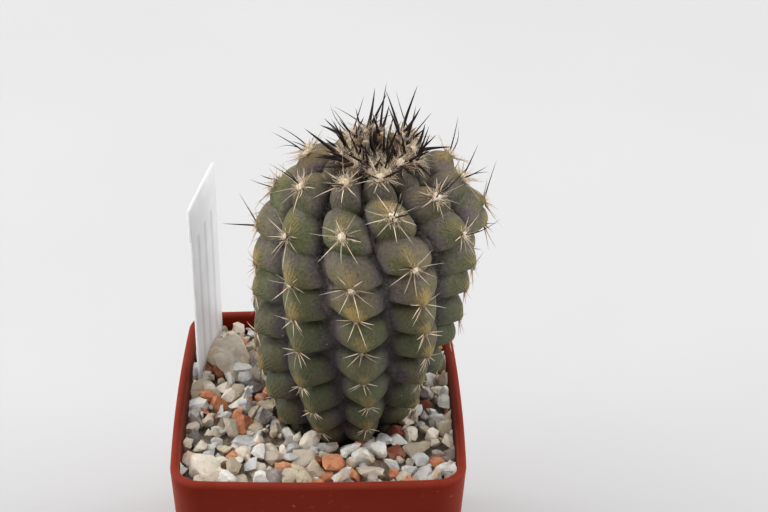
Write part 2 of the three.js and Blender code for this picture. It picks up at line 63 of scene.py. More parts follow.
# Fillings of the pot
MIX_TOP = 41.7
GRAVEL_LEVEL = 47
GRIT_TOP = 45.7
GRIT_HOLE_RADIUS = 11.5

# Stem core and its root
STEM_X = 4.4
STEM_LEAN = 0.114
CORE_RADIUS = 16.4
SHOULDER_HEIGHT = 84
CROWN_RISE = 16
CROWN_SQUARENESS = 2.4
CROWN_STEPS = 201
WAIST = 0.0044
ROOT_RADIUS = 4
ROOT_DEPTH = 22
ROOT_TAPER_DEPTH = 15

# Tubercles: ten ribs of them, each rib starting a little higher than the last
RIB_COUNT = 10
RIB_STEP = 360 / RIB_COUNT
RIB_START = -5.1
PITCH = 7.0
TURNS_OF_RISE = 3
FIRST_LEVEL = 35.0
UPPER_CROWDING = 0.08
HEAD_LEAN = (1.2, 3.0)
TUBERCLE_HEIGHT = 5.0
FLANK_BEARING = 97
FLANK_WIDTH = 16
FLANK_SWELL = 0.36
LEVEL_SCATTER = 1.6
BEARING_SCATTER = 5
NOD = (9, 3)
TWIST = 0.74
UPPER_TWIST = 0.044
TWIST_MIDDLE = 36
LOWEST_LEVEL = 0.8
HIGHEST_LEVEL = 57.0
SKIN_TONE_SEED = 14192
SKIN_COLUMNS = 330
SKIN_ROWS = 285
# A tubercle owns no point that is further out than this, in its half widths
OWNED_REACH = 9.0
# How far from an areole the map puts the poles
POLE_DISTANCE = 9.0

# Spines and wool: a pair is for the oldest areoles, then for the youngest
RADIAL_COUNT = (5, 9)
RADIAL_FAN = (88, 150)
# The length of a radial low on the stem, what it gains higher up, and what it gains near the crown
RADIAL_LENGTHS = (2.7, 1.4, 1.7)
RADIAL_SCALE = 0.86
RADIAL_THINNEST = 0.096
RADIAL_THICKEST = 0.138
DARK_SPINES_FROM = 41
NEEDLE_TAPER = 0.75
DEPTH_LIMIT = 29.0
RIGHT_LIMIT = 39.0
WOOL_FADES_AT = 39
WOOL_SIZE = (0.28, 0.84)
WOOL_SPREAD = (0.5, 0.85)
WOOL_FIBRES = (26, 176)
WOOL_LENGTH = (0.42, 1.22)
FIBRE_RADIUS = 0.042
PAD_LUMPS = 0.22
PAD_FLATNESS = 0.45

# Crown: its youngest areoles, the buds
BUD_COUNT = 26
BUD_REACH = 7.6
GOLDEN_ANGLE = 137.5
BUD_FIBRES = 120

# Stones: the largest ones as x, y, width, depth and colour, the rest by the part's own draw
LARGE_STONES = [
    (-18.7, 14.0, 8.4, 10.5, "buff"),
    (-22.0, -20.2, 6.6, 6.2, "buff"),
    (-2.5, -17.2, 5.2, 5.6, "buff"),
    (3.2, -18.6, 4.8, 5.6, "brick"),
    (9.3, -20.4, 5.2, 4.8, "buff"),
    (19.0, -14.4, 5.6, 5.2, "tan"),
    (15.0, -12.6, 3.8, 3.6, "white"),
]
STONE_TRIES = 1400
STONE_MIN = 3.4
STONE_MAX = 5.6
STONE_SKEW = 1.6
STONE_PACKING = 0.98
STONE_FREE_RADIUS = 13.2
STONE_BULK = 1.12
STONE_THICKNESS = 0.80
STONE_PLANES = 10
STONE_CRISPNESS = 28
STONE_COLOUR_SEED = 57938
CHIP_TRIES = 12000
CHIP_REACH = 25.8
CHIP_MIN = 1.4
CHIP_MAX = 4.0
CHIP_FREE_RADIUS = 12.4
RIGHT_HEAP = 0.9

# Plant label
LABEL_WIDTH = 18.9
LABEL_THICKNESS = 0.7
LABEL_TOP = 87.5
LABEL_STEP_HEIGHT = 80.5
LABEL_STEP = 0.7
LABEL_NECK = 44
LABEL_POINT = 14
LABEL_POINT_WIDTH = 3
LABEL_FOOT = (-24.4, 6.6)
LABEL_TURN = 79.8
RULE_SPACING = 4.8


# Draws and smooth functions

class Draw:
    """The part's own stream of numbers from 0 to 1, so that things fall in the same places."""

    def __init__(self, seed):
        self.state = seed

    def __call__(self):
        self.state = (self.state * 1664525 + 1013904223) % 2**32
        return self.state / 2**32


def smooth(x, low, high):
    """0 below low, 1 above high, and 3t^2 - 2t^3 between them."""
    t = np.clip((np.asarray(x, float) - low) / (high - low), 0, 1)
    return t * t * (3 - 2 * t)


def wobble(points, wavelength, seed, waves=9):
    """A smooth random field of about -1 to 1: sine waves in random directions, added up."""
    rng = np.random.default_rng(seed)
    total = np.zeros(points.shape[:-1])
    for _ in range(waves):
        heading = rng.normal(size=3)
        heading /= np.linalg.norm(heading)
        length = wavelength * rng.uniform(0.7, 1.5)
        phase = rng.uniform(0, 2 * np.pi)
        total += np.sin(points @ heading * (2 * np.pi / length) + phase)
    return total / np.sqrt(waves)


def unit(vectors):
    return vectors / np.maximum(np.linalg.norm(vectors, axis=-1, keepdims=True), 1e-9)


def aged(young, pair):
    """The number between a pair's two, for an age that goes from 0 when old to 1 when young."""
    return pair[0] + (pair[1] - pair[0]) * young


def heading_out(tilt, bearing):
    """The direction tilted from straight up towards a bearing, both in radians."""
    flat = math.sin(tilt)
    return np.array([flat * math.sin(bearing), -flat * math.cos(bearing), math.cos(tilt)])


# Meshes

def grid_faces(rows, columns):
    """Quads between rows of points, joined round each row."""
    row_start = columns * np.arange(rows - 1)[:, None]
    here = row_start + np.arange(columns)
    after = row_start + (np.arange(columns) + 1) % columns
    return np.stack([here, after, after + columns, here + columns], -1).reshape(-1, 4)


def cap_faces(ring_start, columns, pole, upward):
    """Triangles that close a ring of points with its pole."""
    here = ring_start + np.arange(columns)
    after = ring_start + (np.arange(columns) + 1) % columns
    poles = np.full(columns, pole)
    corners = [here, after, poles] if upward else [after, here, poles]
    return np.stack(corners, -1)


def ball(subdivisions):
    """Directions and triangles of an even ball."""
    bm = bmesh.new()
    bmesh.ops.create_icosphere(bm, subdivisions=subdivisions, radius=1)
    directions = np.array([v.co[:] for v in bm.verts])
    triangles = np.array([[v.index for v in face.verts] for face in bm.faces])
    bm.free()
    return unit(directions), triangles


def copies(block, count, stride):
    """The faces of each of many shapes alike, whose points follow one another."""
    offsets = (np.arange(count) * stride)[:, None, None]
    return (block[None] + offsets).reshape(-1, block.shape[1])


def make_piece(name, points, faces, material, attributes=None, corner_uv=None, crisp=None):
    """A smooth-shaded piece from points in millimetres and arrays of faces, on the root body.

    Edges that turn by more than crisp degrees stay sharp.
    """
    mesh = bpy.data.meshes.new(name)
    corners = np.concatenate([block.ravel() for block in faces])
    sides = np.concatenate([np.full(len(block), block.shape[1]) for block in faces])
    starts = np.concatenate([[0], np.cumsum(sides)[:-1]])
    mesh.vertices.add(len(points))
    mesh.vertices.foreach_set("co", (np.asarray(points) * MM).astype(np.float32).ravel())
    mesh.loops.add(len(corners))
    mesh.loops.foreach_set("vertex_index", corners.astype(np.int32))
    mesh.polygons.add(len(sides))
    mesh.polygons.foreach_set("loop_start", starts.astype(np.int32))
    mesh.update(calc_edges=True)
    mesh.polygons.foreach_set("use_smooth", np.ones(len(sides), bool))
    for key, values in (attributes or {}).items():
        layer = mesh.attributes.new(key, "FLOAT", "POINT")
        layer.data.foreach_set("value", np.asarray(values, np.float32).ravel())
    if corner_uv is not None:
        layer = mesh.uv_layers.new(name="tubercle")
        layer.data.foreach_set("uv", corner_uv.astype(np.float32).ravel())
    mesh.validate()
    if crisp is not None:
        mesh.set_sharp_from_angle(angle=math.radians(crisp))
    piece = bpy.data.objects.new(name, mesh)
    bpy.context.scene.collection.objects.link(piece)
    mesh.materials.append(material)
    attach(piece, "root")
    return piece


# Materials

# Colours are linear red, green and blue. Object coordinates are in metres, and the "tubercle" map
# gives millimetres across and along, from an areole or from the middle of the label's foot line.

# The skin's colours low on the stem, then at its shoulder
SKIN_GREEN = (0.069, 0.075, 0.036), (0.108, 0.114, 0.046)
SKIN_BROWN = (0.100, 0.084, 0.042), (0.174, 0.131, 0.063)
SKIN_MAUVE = (0.055, 0.044, 0.045), (0.124, 0.099, 0.101)
SKIN_OCHRE = (0.25, 0.180, 0.066), (0.42, 0.29, 0.098)
# The youngest skin under the crown, green and then browned
SKIN_YOUNGEST = (0.15, 0.112, 0.100), (0.19, 0.118, 0.070)
SKIN_BLOOM = (0.20, 0.170, 0.180)
# Painted shade for the creases between tubercles and the middle of each furrow
SKIN_CREASE_SHADE = (0.014, 0.011, 0.012)
# Painted shadow along each tubercle's upper edge, under the tubercle above
SKIN_BROW_SHADOW = (0.016, 0.014, 0.012)
# Painted shade on the lower part of each tubercle, below its areole
SKIN_UNDERSIDE_SHADE = (0.011, 0.011, 0.008)
SKIN_SPECK = (0.66, 0.66, 0.60)
SKIN_MOTTLE = (0.26, 0.235, 0.17)
SKIN_PORE = (0.025, 0.022, 0.016)
POT_RED = (0.150, 0.010, 0.002), (0.170, 0.012, 0.003)
# The rim top's colour: partly wear, partly a painted highlight where light falls on the rim
POT_RIM_WEAR_AND_HIGHLIGHT = (0.225, 0.028, 0.015)
POT_DUST = (0.55, 0.36, 0.28)
POT_SHEEN = (1.0, 0.36, 0.24)
LABEL_WHITE = (0.58, 0.58, 0.59), (0.62, 0.62, 0.63)
LABEL_RULE = (0.34, 0.33, 0.35)
LABEL_SOIL = (0.42, 0.36, 0.30)
FLOOR_PAPER = (0.595, 0.592, 0.59), (0.615, 0.612, 0.61)
# Stones: a colour, its finish, its share of all stones, its roughness, light, dark and stain
STONE_KINDS = [
    ("white", "quartz_white", 0.34, 0.6, (0.88, 0.86, 0.80), (0.60, 0.60, 0.59), (0.74, 0.64, 0.50)),
    ("buff", "limestone_buff", 0.28, 0.8, (0.88, 0.79, 0.66), (0.62, 0.53, 0.42), (0.70, 0.46, 0.26)),
    ("tan", "sandstone_tan", 0.13, 0.8, (0.66, 0.56, 0.41), (0.44, 0.37, 0.27), (0.52, 0.31, 0.18)),
    ("grey", "slate_grey", 0.09, 0.8, (0.47, 0.41, 0.37), (0.18, 0.16, 0.15), (0.34, 0.24, 0.18)),
    ("brick", "fired_brick", 0.16, 0.8, (0.66, 0.27, 0.13), (0.27, 0.075, 0.045), (0.60, 0.36, 0.24)),
]


class Finish:
    """A procedural material under construction: each method adds a node and returns its output."""

    def __init__(self, name):
        self.material = bpy.data.materials.new(name)
        self.material.use_nodes = True
        self.tree = self.material.node_tree
        self.shader = self.tree.nodes["Principled BSDF"]
        self.place = self.add("ShaderNodeTexCoord").outputs["Object"]

    def add(self, kind, **settings):
        node = self.tree.nodes.new(kind)
        for key, value in settings.items():
            setattr(node, key, value)
        return node

    def feed(self, socket, value):
        if isinstance(value, bpy.types.NodeSocket):
            self.tree.links.new(value, socket)
        elif isinstance(value, tuple) and socket.type == "RGBA":
            socket.default_value = (*value, 1)
        else:
            socket.default_value = value

    def feed_all(self, sockets, values):
        for socket, value in zip(sockets, values):
            self.feed(socket, value)

    def noise(self, scale, detail=3, roughness=0.55):
        node = self.add("ShaderNodeTexNoise")
        sockets = [node.inputs[key] for key in ("Vector", "Scale", "Detail", "Roughness")]
        self.feed_all(sockets, (self.place, scale, detail, roughness))
        return node.outputs["Fac"]

    def cells(self, scale):
        """The distance to the nearest of points scattered in space."""
        node = self.add("ShaderNodeTexVoronoi")
        self.feed_all([node.inputs["Vector"], node.inputs["Scale"]], (self.place, scale))
        return node.outputs["Distance"]

    def attribute(self, key):
        return self.add("ShaderNodeAttribute", attribute_name=key).outputs["Fac"]

    def parts(self, vector):
        """The three numbers of a vector."""
        node = self.add("ShaderNodeSeparateXYZ")
        self.feed(node.inputs[0], vector)
        return node.outputs[0], node.outputs[1], node.outputs[2]

    def flat(self):
        """How far across and along the surface the "tubercle" map says that a point is."""
        return self.parts(self.add("ShaderNodeUVMap", uv_map="tubercle").outputs[0])[:2]

    def sums(self, operation, *values):
        node = self.add("ShaderNodeMath", operation=operation)
        self.feed_all(node.inputs, values)
        return node.outputs[0]

    def plus(self, a, b):
        return self.sums("ADD", a, b)

    def minus(self, a, b):
        return self.sums("SUBTRACT", a, b)

    def times(self, a, b):
        return self.sums("MULTIPLY", a, b)

    def distance(self, a, b):
        return self.sums("SQRT", self.plus(self.times(a, a), self.times(b, b)))

    def span(self, value, low, high, start=0.0, end=1.0):
        """The value carried from low..high to start..end, smoothly and without overshoot."""
        node = self.add("ShaderNodeMapRange", interpolation_type="SMOOTHSTEP")
        self.feed_all(node.inputs, (value, low, high, start, end))
        return node.outputs[0]

    def between(self, share, start, end):
        """The share from 0 to 1 carried to start..end."""
        return self.span(share, 0.0, 1.0, start, end)

    def blend(self, share, a, b, mode="MIX"):
        node = self.add("ShaderNodeMix", data_type="RGBA", blend_type=mode)
        self.feed_all([node.inputs[0], node.inputs[6], node.inputs[7]], (share, a, b))
        return node.outputs[2]

    def ramp(self, value, stops):
        node = self.add("ShaderNodeValToRGB")
        self.feed(node.inputs[0], value)
        band = node.color_ramp.elements
        while len(band) < len(stops):
            band.new(0.5)
        for element, (position, colour) in zip(band, stops):
            element.position = position
            element.color = (*colour, 1)
        return node.outputs[0]

    def bump(self, height, depth, strength=1.0, under=None):
        """The normal over a height whose full depth is in millimetres, on top of another normal."""
        node = self.add("ShaderNodeBump")
        sockets = [node.inputs[key] for key in ("Height", "Distance", "Strength")]
        self.feed_all(sockets, (height, depth * MM, strength))
        if under is not None:
            self.feed(node.inputs["Normal"], under)
        return node.outputs[0]

    def done(self, colour, roughness, normal=None, **constants):
        self.feed(self.shader.inputs["Base Color"], colour)
        self.feed(self.shader.inputs["Roughness"], roughness)
        if normal is not None:
            self.feed(self.shader.inputs["Normal"], normal)
        for key, value in constants.items():
            self.feed(self.shader.inputs[key.replace("_", " ")], value)
        return self.material


def skin_colour(f, across, rise, drift, grain):
    """The skin's colour, in layers.

    Olive that browns with the tubercle's tone, mauve in the furrows and over each tubercle's upper
    end, ochre over the areole, painted shade in the creases and under each tubercle, a painted
    shadow along each tubercle's upper edge, then specks, mottling and pores.
    """
    def uneven(value, amount):
        return f.plus(value, f.times(drift, amount))

    level = f.parts(f.place)[2]
    high, head = f.span(level, 0.066, 0.095), f.span(level, 0.080, 0.092)
    relief, furrow, tone = [f.attribute(key) for key in ("relief", "furrow", "tone")]

    browning = f.span(uneven(tone, 0.4), 0.25, 1.0)
    olive = f.blend(f.times(browning, 0.8), f.blend(high, *SKIN_GREEN), f.blend(high, *SKIN_BROWN))
    youngest = f.span(uneven(level, 0.002), 0.0965, 0.1005)
    olive = f.blend(f.times(youngest, 0.65), olive, f.blend(browning, *SKIN_YOUNGEST))
    bloom = f.times(f.span(f.noise(300, 4, 0.6), 0.5, 0.75, 0.0, 0.4), f.between(high, 0.35, 1.0))
    mauve = f.blend(bloom, f.blend(f.span(level, 0.070, 0.094), *SKIN_MAUVE), SKIN_BLOOM)
    near_furrow = f.span(uneven(furrow, 0.13), 0.5, 0.95)
    upper_end = f.span(uneven(f.minus(rise, f.between(head, 2.4, 0.0)), 0.9), 1.0, 3.8)
    upper_end = f.times(upper_end, f.between(head, 0.28, 0.62))
    skin = f.blend(f.sums("MAXIMUM", near_furrow, upper_end), olive, mauve)

    reach = f.plus(f.times(grain, 0.55), f.times(drift, 0.5))
    reach = f.plus(f.distance(across, f.minus(rise, 1.5)), reach)
    ochre = f.span(reach, 0.2, f.between(high, 1.7, 2.4), 1.0, 0.0)
    ochre = f.times(ochre, f.times(f.between(tone, 0.38, 1.0), f.between(head, 1.0, 0.6)))
    skin = f.blend(ochre, skin, f.blend(high, *SKIN_OCHRE))

    # Painted shade where the relief is low, in the creases, and along the middle of each furrow
    crease_shade = f.span(relief, 0.05, f.between(head, 0.42, 0.54), 0.92, 0.0)
    crease_shade = f.times(crease_shade, f.span(furrow, 0.55, 0.95, 1.0, f.between(head, 0.4, 0.95)))
    seam_shade = f.times(f.span(furrow, 0.91, 0.985), f.between(head, 0.25, 0.85))
    # Painted shadow along each tubercle's upper edge, where the tubercle above overhangs it
    brow_shadow = f.times(f.span(uneven(rise, 0.3), 3.9, 5.3, 0.0, 0.55), f.between(head, 1.0, 0.0))
    # Painted shade on each tubercle's underside, darkest about 2 mm below the areole
    underside_shade = f.span(uneven(rise, 0.25), -2.0, -0.5, 0.88, 0.0)
    speck = f.times(f.span(f.cells(420), 0.06, 0.09, 1.0, 0.0), f.span(f.noise(150, 1), 0.64, 0.68))
    mottle = f.span(uneven(f.noise(1700, 3, 0.6), 0.05), 0.42, 0.72, 0.0, 0.34)
    layers = [
        (f.sums("MAXIMUM", crease_shade, seam_shade), SKIN_CREASE_SHADE),
        (brow_shadow, SKIN_BROW_SHADOW),
        (f.times(underside_shade, f.between(head, 1.0, 0.4)), SKIN_UNDERSIDE_SHADE),
        (speck, SKIN_SPECK),
        (f.times(mottle, f.between(high, 0.3, 1.0)), SKIN_MOTTLE),
        (f.span(f.noise(2300, 2), 0.30, 0.46, 0.45, 0.0), SKIN_PORE),
    ]
    for share, colour in layers:
        skin = f.blend(share, skin, colour)
    return skin


def skin_normal(f, across, rise, grain):
    """Fine pleats that run out from each areole, on a leathery grain with small cells."""
    bearing = f.sums("ARCTAN2", across, f.plus(rise, 0.25))
    pleats = f.sums("SINE", f.times(f.plus(bearing, f.times(grain, 0.07)), 30))
    away = f.distance(across, rise)
    near = f.times(f.span(away, 0.7, 1.6), f.span(away, 2.2, 4.2, 1.0, 0.0))
    normal = f.bump(f.times(pleats, near), 0.045)
    normal = f.bump(f.noise(520, 5, 0.65), 0.22, 0.8, normal)
    return f.bump(f.cells(1500), 0.06, 0.7, normal)


def skin_finish():
    """Waxy cactus skin."""
    f = Finish("stem_skin")
    across, rise = f.flat()
    fine = f.noise(700, 5, 0.65)
    grain = f.span(fine, 0.25, 0.75, -1.0, 1.0)
    drift = f.span(f.noise(130, 3), 0.3, 0.7, -1.0, 1.0)
    colour = skin_colour(f, across, rise, drift, grain)
    roughness = f.span(fine, 0.3, 0.7, 0.45, 0.65)
    return f.done(colour, roughness, skin_normal(f, across, rise, grain), Specular_IOR_Level=0.2)


def spine_finish(name, base, middle, tip, roughness):
    """A horny spine whose colour runs from its base to its tip, with faint cross bands."""
    f = Finish(name)
    colour = f.ramp(f.attribute("along"), [(0.0, base), (0.35, middle), (0.95, tip)])
    shade = f.add("ShaderNodeCombineColor")
    f.feed_all(shade.inputs, 3 * [f.between(f.attribute("tone"), 0.55, 1.3)])
    colour = f.blend(1.0, colour, shade.outputs[0], mode="MULTIPLY")
    colour = f.blend(f.span(f.noise(1400, 2), 0.45, 0.7, 0.0, 0.35), colour, base)
    return f.done(colour, roughness, f.bump(f.noise(2200, 3), 0.05), Specular_IOR_Level=0.2)


def knob_finish():
    """The skin of the youngest tubercles: brown ochre with mauve and green patches."""
    f = Finish("young_skin")
    mauve, ochre, green = (0.12, 0.085, 0.088), (0.24, 0.130, 0.050), (0.14, 0.125, 0.055)
    dark = (0.06, 0.04, 0.03)
    colour = f.ramp(f.noise(330, 3), [(0.38, mauve), (0.52, ochre), (0.66, green)])
    colour = f.blend(f.span(f.noise(1900, 3), 0.35, 0.6, 0.35, 0.0), colour, dark)
    return f.done(colour, 0.55, f.bump(f.noise(900, 4), 0.12), Specular_IOR_Level=0.2)


def wool_finish(name, light, dark):
    """Felted areole wool: cream fibres, browner in its depth."""
    f = Finish(name)
    colour = f.blend(f.span(f.noise(1500, 3), 0.35, 0.65), light, dark)
    normal = f.bump(f.noise(3000, 4, 0.7), 0.15)
    return f.done(colour, 0.9, normal, Sheen_Weight=0.4, Sheen_Roughness=0.5)


def stone_finish(name, roughness, light, dark, stain, grain=900):
    """Broken stone: two tones in patches, stains, fine grains and a rough skin."""
    f = Finish(name)
    patches = f.plus(f.noise(330, 5, 0.65), f.between(f.attribute("tone"), -0.26, 0.26))
    colour = f.blend(f.span(patches, 0.36, 0.68), light, dark)
    edges = f.span(f.noise(900, 3), 0.2, 0.8, -0.08, 0.08)
    stained = f.span(f.plus(f.noise(210, 4, 0.6), edges), 0.54, 0.66)
    colour = f.blend(f.times(stained, 0.6), colour, stain)
    colour = f.blend(f.span(f.noise(grain, 4, 0.65), 0.5, 0.72, 0.0, 0.6), colour, dark)
    colour = f.blend(f.span(f.cells(grain * 0.5), 0.0, 0.12, 0.5, 0.0), colour, light)
    normal = f.bump(f.noise(620, 6, 0.7), 0.5)
    normal = f.bump(f.noise(2000, 3), 0.10, 0.9, normal)
    return f.done(colour, roughness, normal, Specular_IOR_Level=0.3)


def pot_finish():
    """Red-brown moulded plastic: a satin skin with a faint orange peel, a rim top lightened by wear
    and a painted highlight, and dust.
    """
    f = Finish("pot_plastic")
    colour = f.blend(f.span(f.noise(45, 3), 0.35, 0.65), *POT_RED)
    # The rim top is lightened, partly as wear and partly as a painted highlight
    on_rim = f.span(f.parts(f.place)[2], 0.0488, 0.0496)
    rim_wear_and_highlight = f.times(on_rim, f.span(f.noise(230, 3), 0.2, 0.7, 0.6, 1.0))
    colour = f.blend(rim_wear_and_highlight, colour, POT_RIM_WEAR_AND_HIGHLIGHT)
    dust = f.times(f.span(f.noise(700, 4), 0.62, 0.8), f.span(f.noise(90, 3), 0.5, 0.7))
    colour = f.blend(f.times(dust, 0.35), colour, POT_DUST)
    roughness = f.span(f.noise(160, 4), 0.3, 0.7, 0.42, 0.58)
    normal = f.bump(f.noise(1100, 2), 0.03)
    normal = f.bump(f.noise(60, 2), 0.25, 0.5, normal)
    return f.done(colour, roughness, normal, Specular_IOR_Level=0.06,
                  Sheen_Weight=0.35, Sheen_Roughness=0.35, Sheen_Tint=POT_SHEEN)


def mix_finish():
    """Dark potting mix: crumbs of peat with pale grains of grit."""
    f = Finish("potting_mix")
    black, brown, tan = (0.012, 0.008, 0.006), (0.050, 0.032, 0.022), (0.11, 0.075, 0.05)
    grit = (0.45, 0.40, 0.32)
    crumbs = f.noise(420, 6, 0.7)
    colour = f.ramp(crumbs, [(0.3, black), (0.6, brown), (0.8, tan)])
    grains = f.times(f.span(f.cells(520), 0.08, 0.13, 1.0, 0.0), f.span(f.noise(300, 1), 0.55, 0.6))
    return f.done(f.blend(grains, colour, grit), 0.95, f.bump(crumbs, 1.2))


def label_finish():
    """White plastic with a faint grain; its front has plain ruled grey lines along its length."""
    f = Finish("label_plastic")
    across, height = f.flat()
    turns = f.sums("FRACT", f.plus(f.sums("DIVIDE", across, RULE_SPACING), 0.5))
    ruled = f.span(f.sums("ABSOLUTE", f.minus(turns, 0.5)), 0.10, 0.24, 1.0, 0.0)
    inside = f.times(f.span(height, 50.0, 50.6), f.span(height, 79.0, 79.6, 1.0, 0.0))
    edges = f.span(f.sums("ABSOLUTE", across), 7.2, 7.6, 1.0, 0.0)
    colour = f.blend(f.span(f.noise(120, 3), 0.3, 0.7), *LABEL_WHITE)
    colour = f.blend(f.times(f.times(ruled, inside), f.times(edges, 0.48)), colour, LABEL_RULE)
    soiled = f.times(f.span(height, 47.0, 54.0, 1.0, 0.0), f.span(f.noise(300, 4), 0.45, 0.65))
    colour = f.blend(f.times(soiled, 0.5), colour, LABEL_SOIL)
    roughness = f.span(f.noise(200, 3), 0.3, 0.7, 0.38, 0.52)
    return f.done(colour, roughness, f.bump(f.noise(900, 3), 0.02),
                  Subsurface_Weight=0.9, Subsurface_Radius=(1.0, 1.0, 1.0), Subsurface_Scale=0.004)


def floor_finish():
    """Plain pale paper."""
    f = Finish("floor_paper")
    colour = f.blend(f.span(f.noise(6, 2), 0.3, 0.7), *FLOOR_PAPER)
    return f.done(colour, 0.8, Specular_IOR_Level=0.2)


# Stem

def core_profile():
    """Radius, height and arc length along the core, from the root's tip to the crown.

    Below the shoulder the radius is the full one less a square of the depth, drawn in to the root
    by a cosine under the gravel. The crown is a quarter of a superellipse. Arc is 0 at the gravel.
    """
    foot = GRAVEL_LEVEL - ROOT_DEPTH
    z = np.arange(foot + 1, SHOULDER_HEIGHT, 0.25)
    body = CORE_RADIUS - WAIST * (SHOULDER_HEIGHT - np.maximum(z, GRAVEL_LEVEL)) ** 2
    sunk = np.clip((GRAVEL_LEVEL - z) / ROOT_TAPER_DEPTH, 0, 1)
    r = ROOT_RADIUS + (body - ROOT_RADIUS) * (1 + np.cos(np.pi * sunk)) / 2
    turn = np.linspace(0, np.pi / 2, CROWN_STEPS)
    crown_r = CORE_RADIUS * np.maximum(np.cos(turn), 0) ** (2 / CROWN_SQUARENESS)
    crown_r[-1] = 0
    crown_z = SHOULDER_HEIGHT + CROWN_RISE * np.sin(turn) ** (2 / CROWN_SQUARENESS)
    r = np.concatenate([[0, 0.7 * ROOT_RADIUS], r, crown_r])
    z = np.concatenate([[foot, foot], z, crown_z])
    arc = np.concatenate([[0], np.cumsum(np.hypot(np.diff(r), np.diff(z)))])
    return r, z, arc - arc[np.argmax(z >= GRAVEL_LEVEL)]


CORE_R, CORE_Z, CORE_ARC = core_profile()
ROOT_TIP_ARC, APEX_ARC = CORE_ARC[0], CORE_ARC[-1]


def core_frame(arc):
    """Core radius and height at an arc length, with the nodding outward direction there."""
    r, z = np.interp(arc, CORE_ARC, CORE_R), np.interp(arc, CORE_ARC, CORE_Z)
    before, after = np.maximum(arc - 0.6, ROOT_TIP_ARC), np.minimum(arc + 0.6, APEX_ARC)
    dr = np.interp(after, CORE_ARC, CORE_R) - np.interp(before, CORE_ARC, CORE_R)
    dz = np.interp(after, CORE_ARC, CORE_Z) - np.interp(before, CORE_ARC, CORE_Z)
    length = np.maximum(np.hypot(dr, dz), 1e-9)
    dr, dz = dr / length, dz / length
    nod = nod_angle(arc)
    out_r = dz * np.cos(nod) - dr * np.sin(nod)
    out_z = -dr * np.cos(nod) - dz * np.sin(nod)
    return r, z, out_r, out_z


def nod_angle(arc):
    """How far the tubercles hang below square to the core: less and less over the shoulder."""
    return np.radians(aged(smooth(arc, 28, 58), NOD))


def tubercle_height(arc):
    return TUBERCLE_HEIGHT * smooth(arc, -10, 12) * (1 - smooth(arc, 56, 62))


def rib_twist(arc):
    """Degrees that a rib lies to the right of its middle: it winds left as it rises, and faster
    over the shoulder.
    """
    past = np.asarray(arc, float) - TWIST_MIDDLE
    return -TWIST * past - UPPER_TWIST * np.maximum(past, 0) ** 2


def place_on_axis(r, bearing, z):
    """Points at radius, bearing in radians and height about the leaning axis."""
    x = STEM_X + STEM_LEAN * (z - GRAVEL_LEVEL)
    return np.stack([x + r * np.sin(bearing), -r * np.cos(bearing), z + 0 * bearing], -1)


def on_flank(bearing, arc):
    """How near a tubercle is to the middle of the right shoulder's flank, from 0 to 1."""
    aside = wrap(bearing - FLANK_BEARING) / FLANK_WIDTH
    return float(np.exp(-(aside**2)) * smooth(arc, 33, 38) * (1 - smooth(arc, 43, 48)))


def wrap(turn):
    return turn - 360 * np.round(turn / 360)


def turn_from_tip(bearing, arc, tip_bearing, tip_arc):
    """Degrees round the stem from a tubercle's tip, counted across the winding ribs."""
    return wrap(bearing - tip_bearing - rib_twist(arc) + rib_twist(tip_arc))


def make_tubercles():
    """Rows of bearing, arc length of the root's middle, size, and whether an areole is on it.

    The level that a tip reaches is set by the rule, and its root is higher by the nod. Below the
    lowest areoles the ribs run on under the gravel, and above the highest into the crown.
    """
    draw = Draw(4959)
    rows = []
    for rib in range(RIB_COUNT):
        rib_level = FIRST_LEVEL + rib * TURNS_OF_RISE * PITCH / RIB_COUNT
        around = math.radians(RIB_START + rib * RIB_STEP)
        lean = HEAD_LEAN[0] * math.sin(around) + HEAD_LEAN[1] * (math.cos(around) - 1)
        for row in range(-12, 7):
            level = rib_level + row * PITCH + LEVEL_SCATTER * (draw() - 0.5)
            level -= UPPER_CROWDING * max(level - FIRST_LEVEL, 0)
            level += lean * float(smooth(level, 34, 52))
            wander = BEARING_SCATTER * (draw() - 0.5)
            size = 0.94 + 0.12 * draw()
            if not -9 <= level <= 62:
                continue
            root = level + float(tubercle_height(level) * np.sin(nod_angle(level)))
            bearing = RIB_START + rib * RIB_STEP + float(rib_twist(root)) + wander
            size *= 1 + FLANK_SWELL * on_flank(bearing, root)
            rows.append((bearing, root, size, LOWEST_LEVEL <= level <= HIGHEST_LEVEL))
    return np.array(rows)


TUBERCLES = make_tubercles()
AREOLES = TUBERCLES[TUBERCLES[:, 3] == 1, :3]


def tubercle_form(across, rise, young):
    """Relief of one tubercle, and how far out from its middle a point is, in its half widths.

    Across is in rib widths and rise in pitches above the areole. An old tubercle is a round bolster
    across the rib, highest on the rib's crest and with its middle above the areole: the height of a
    half ellipse along the rib times a fall to the furrows. A young one is a rounded box.
    """
    side = np.abs(across) / 0.5
    lifted = rise - 0.22 * (1 - young)
    reach = np.where(lifted > 0, 0.52, 0.44) * (1 - 0.30 * np.minimum(side, 1.2) ** 2)
    along = np.maximum(1 - (np.abs(lifted) / reach) ** 2.2, 0) ** 0.5
    bolster = along * np.maximum(1 - 0.80 * side**1.4, 0)
    far = ((side / 1.06) ** 2.8 + (np.abs(lifted) / 0.52) ** 2.8) ** (1 / 2.8)
    box = np.maximum(1 - far**2, 0) ** 0.52
    nose = 0.08 * np.exp(-((across / 0.14) ** 2) - (rise / 0.20) ** 2)
    ridge = 0.14 * np.maximum(1 - side**2, 0) * (np.abs(lifted) < 0.6)
    form = (1 - young) * bolster + young * box
    return np.maximum(0.92 * form + nose, ridge), far


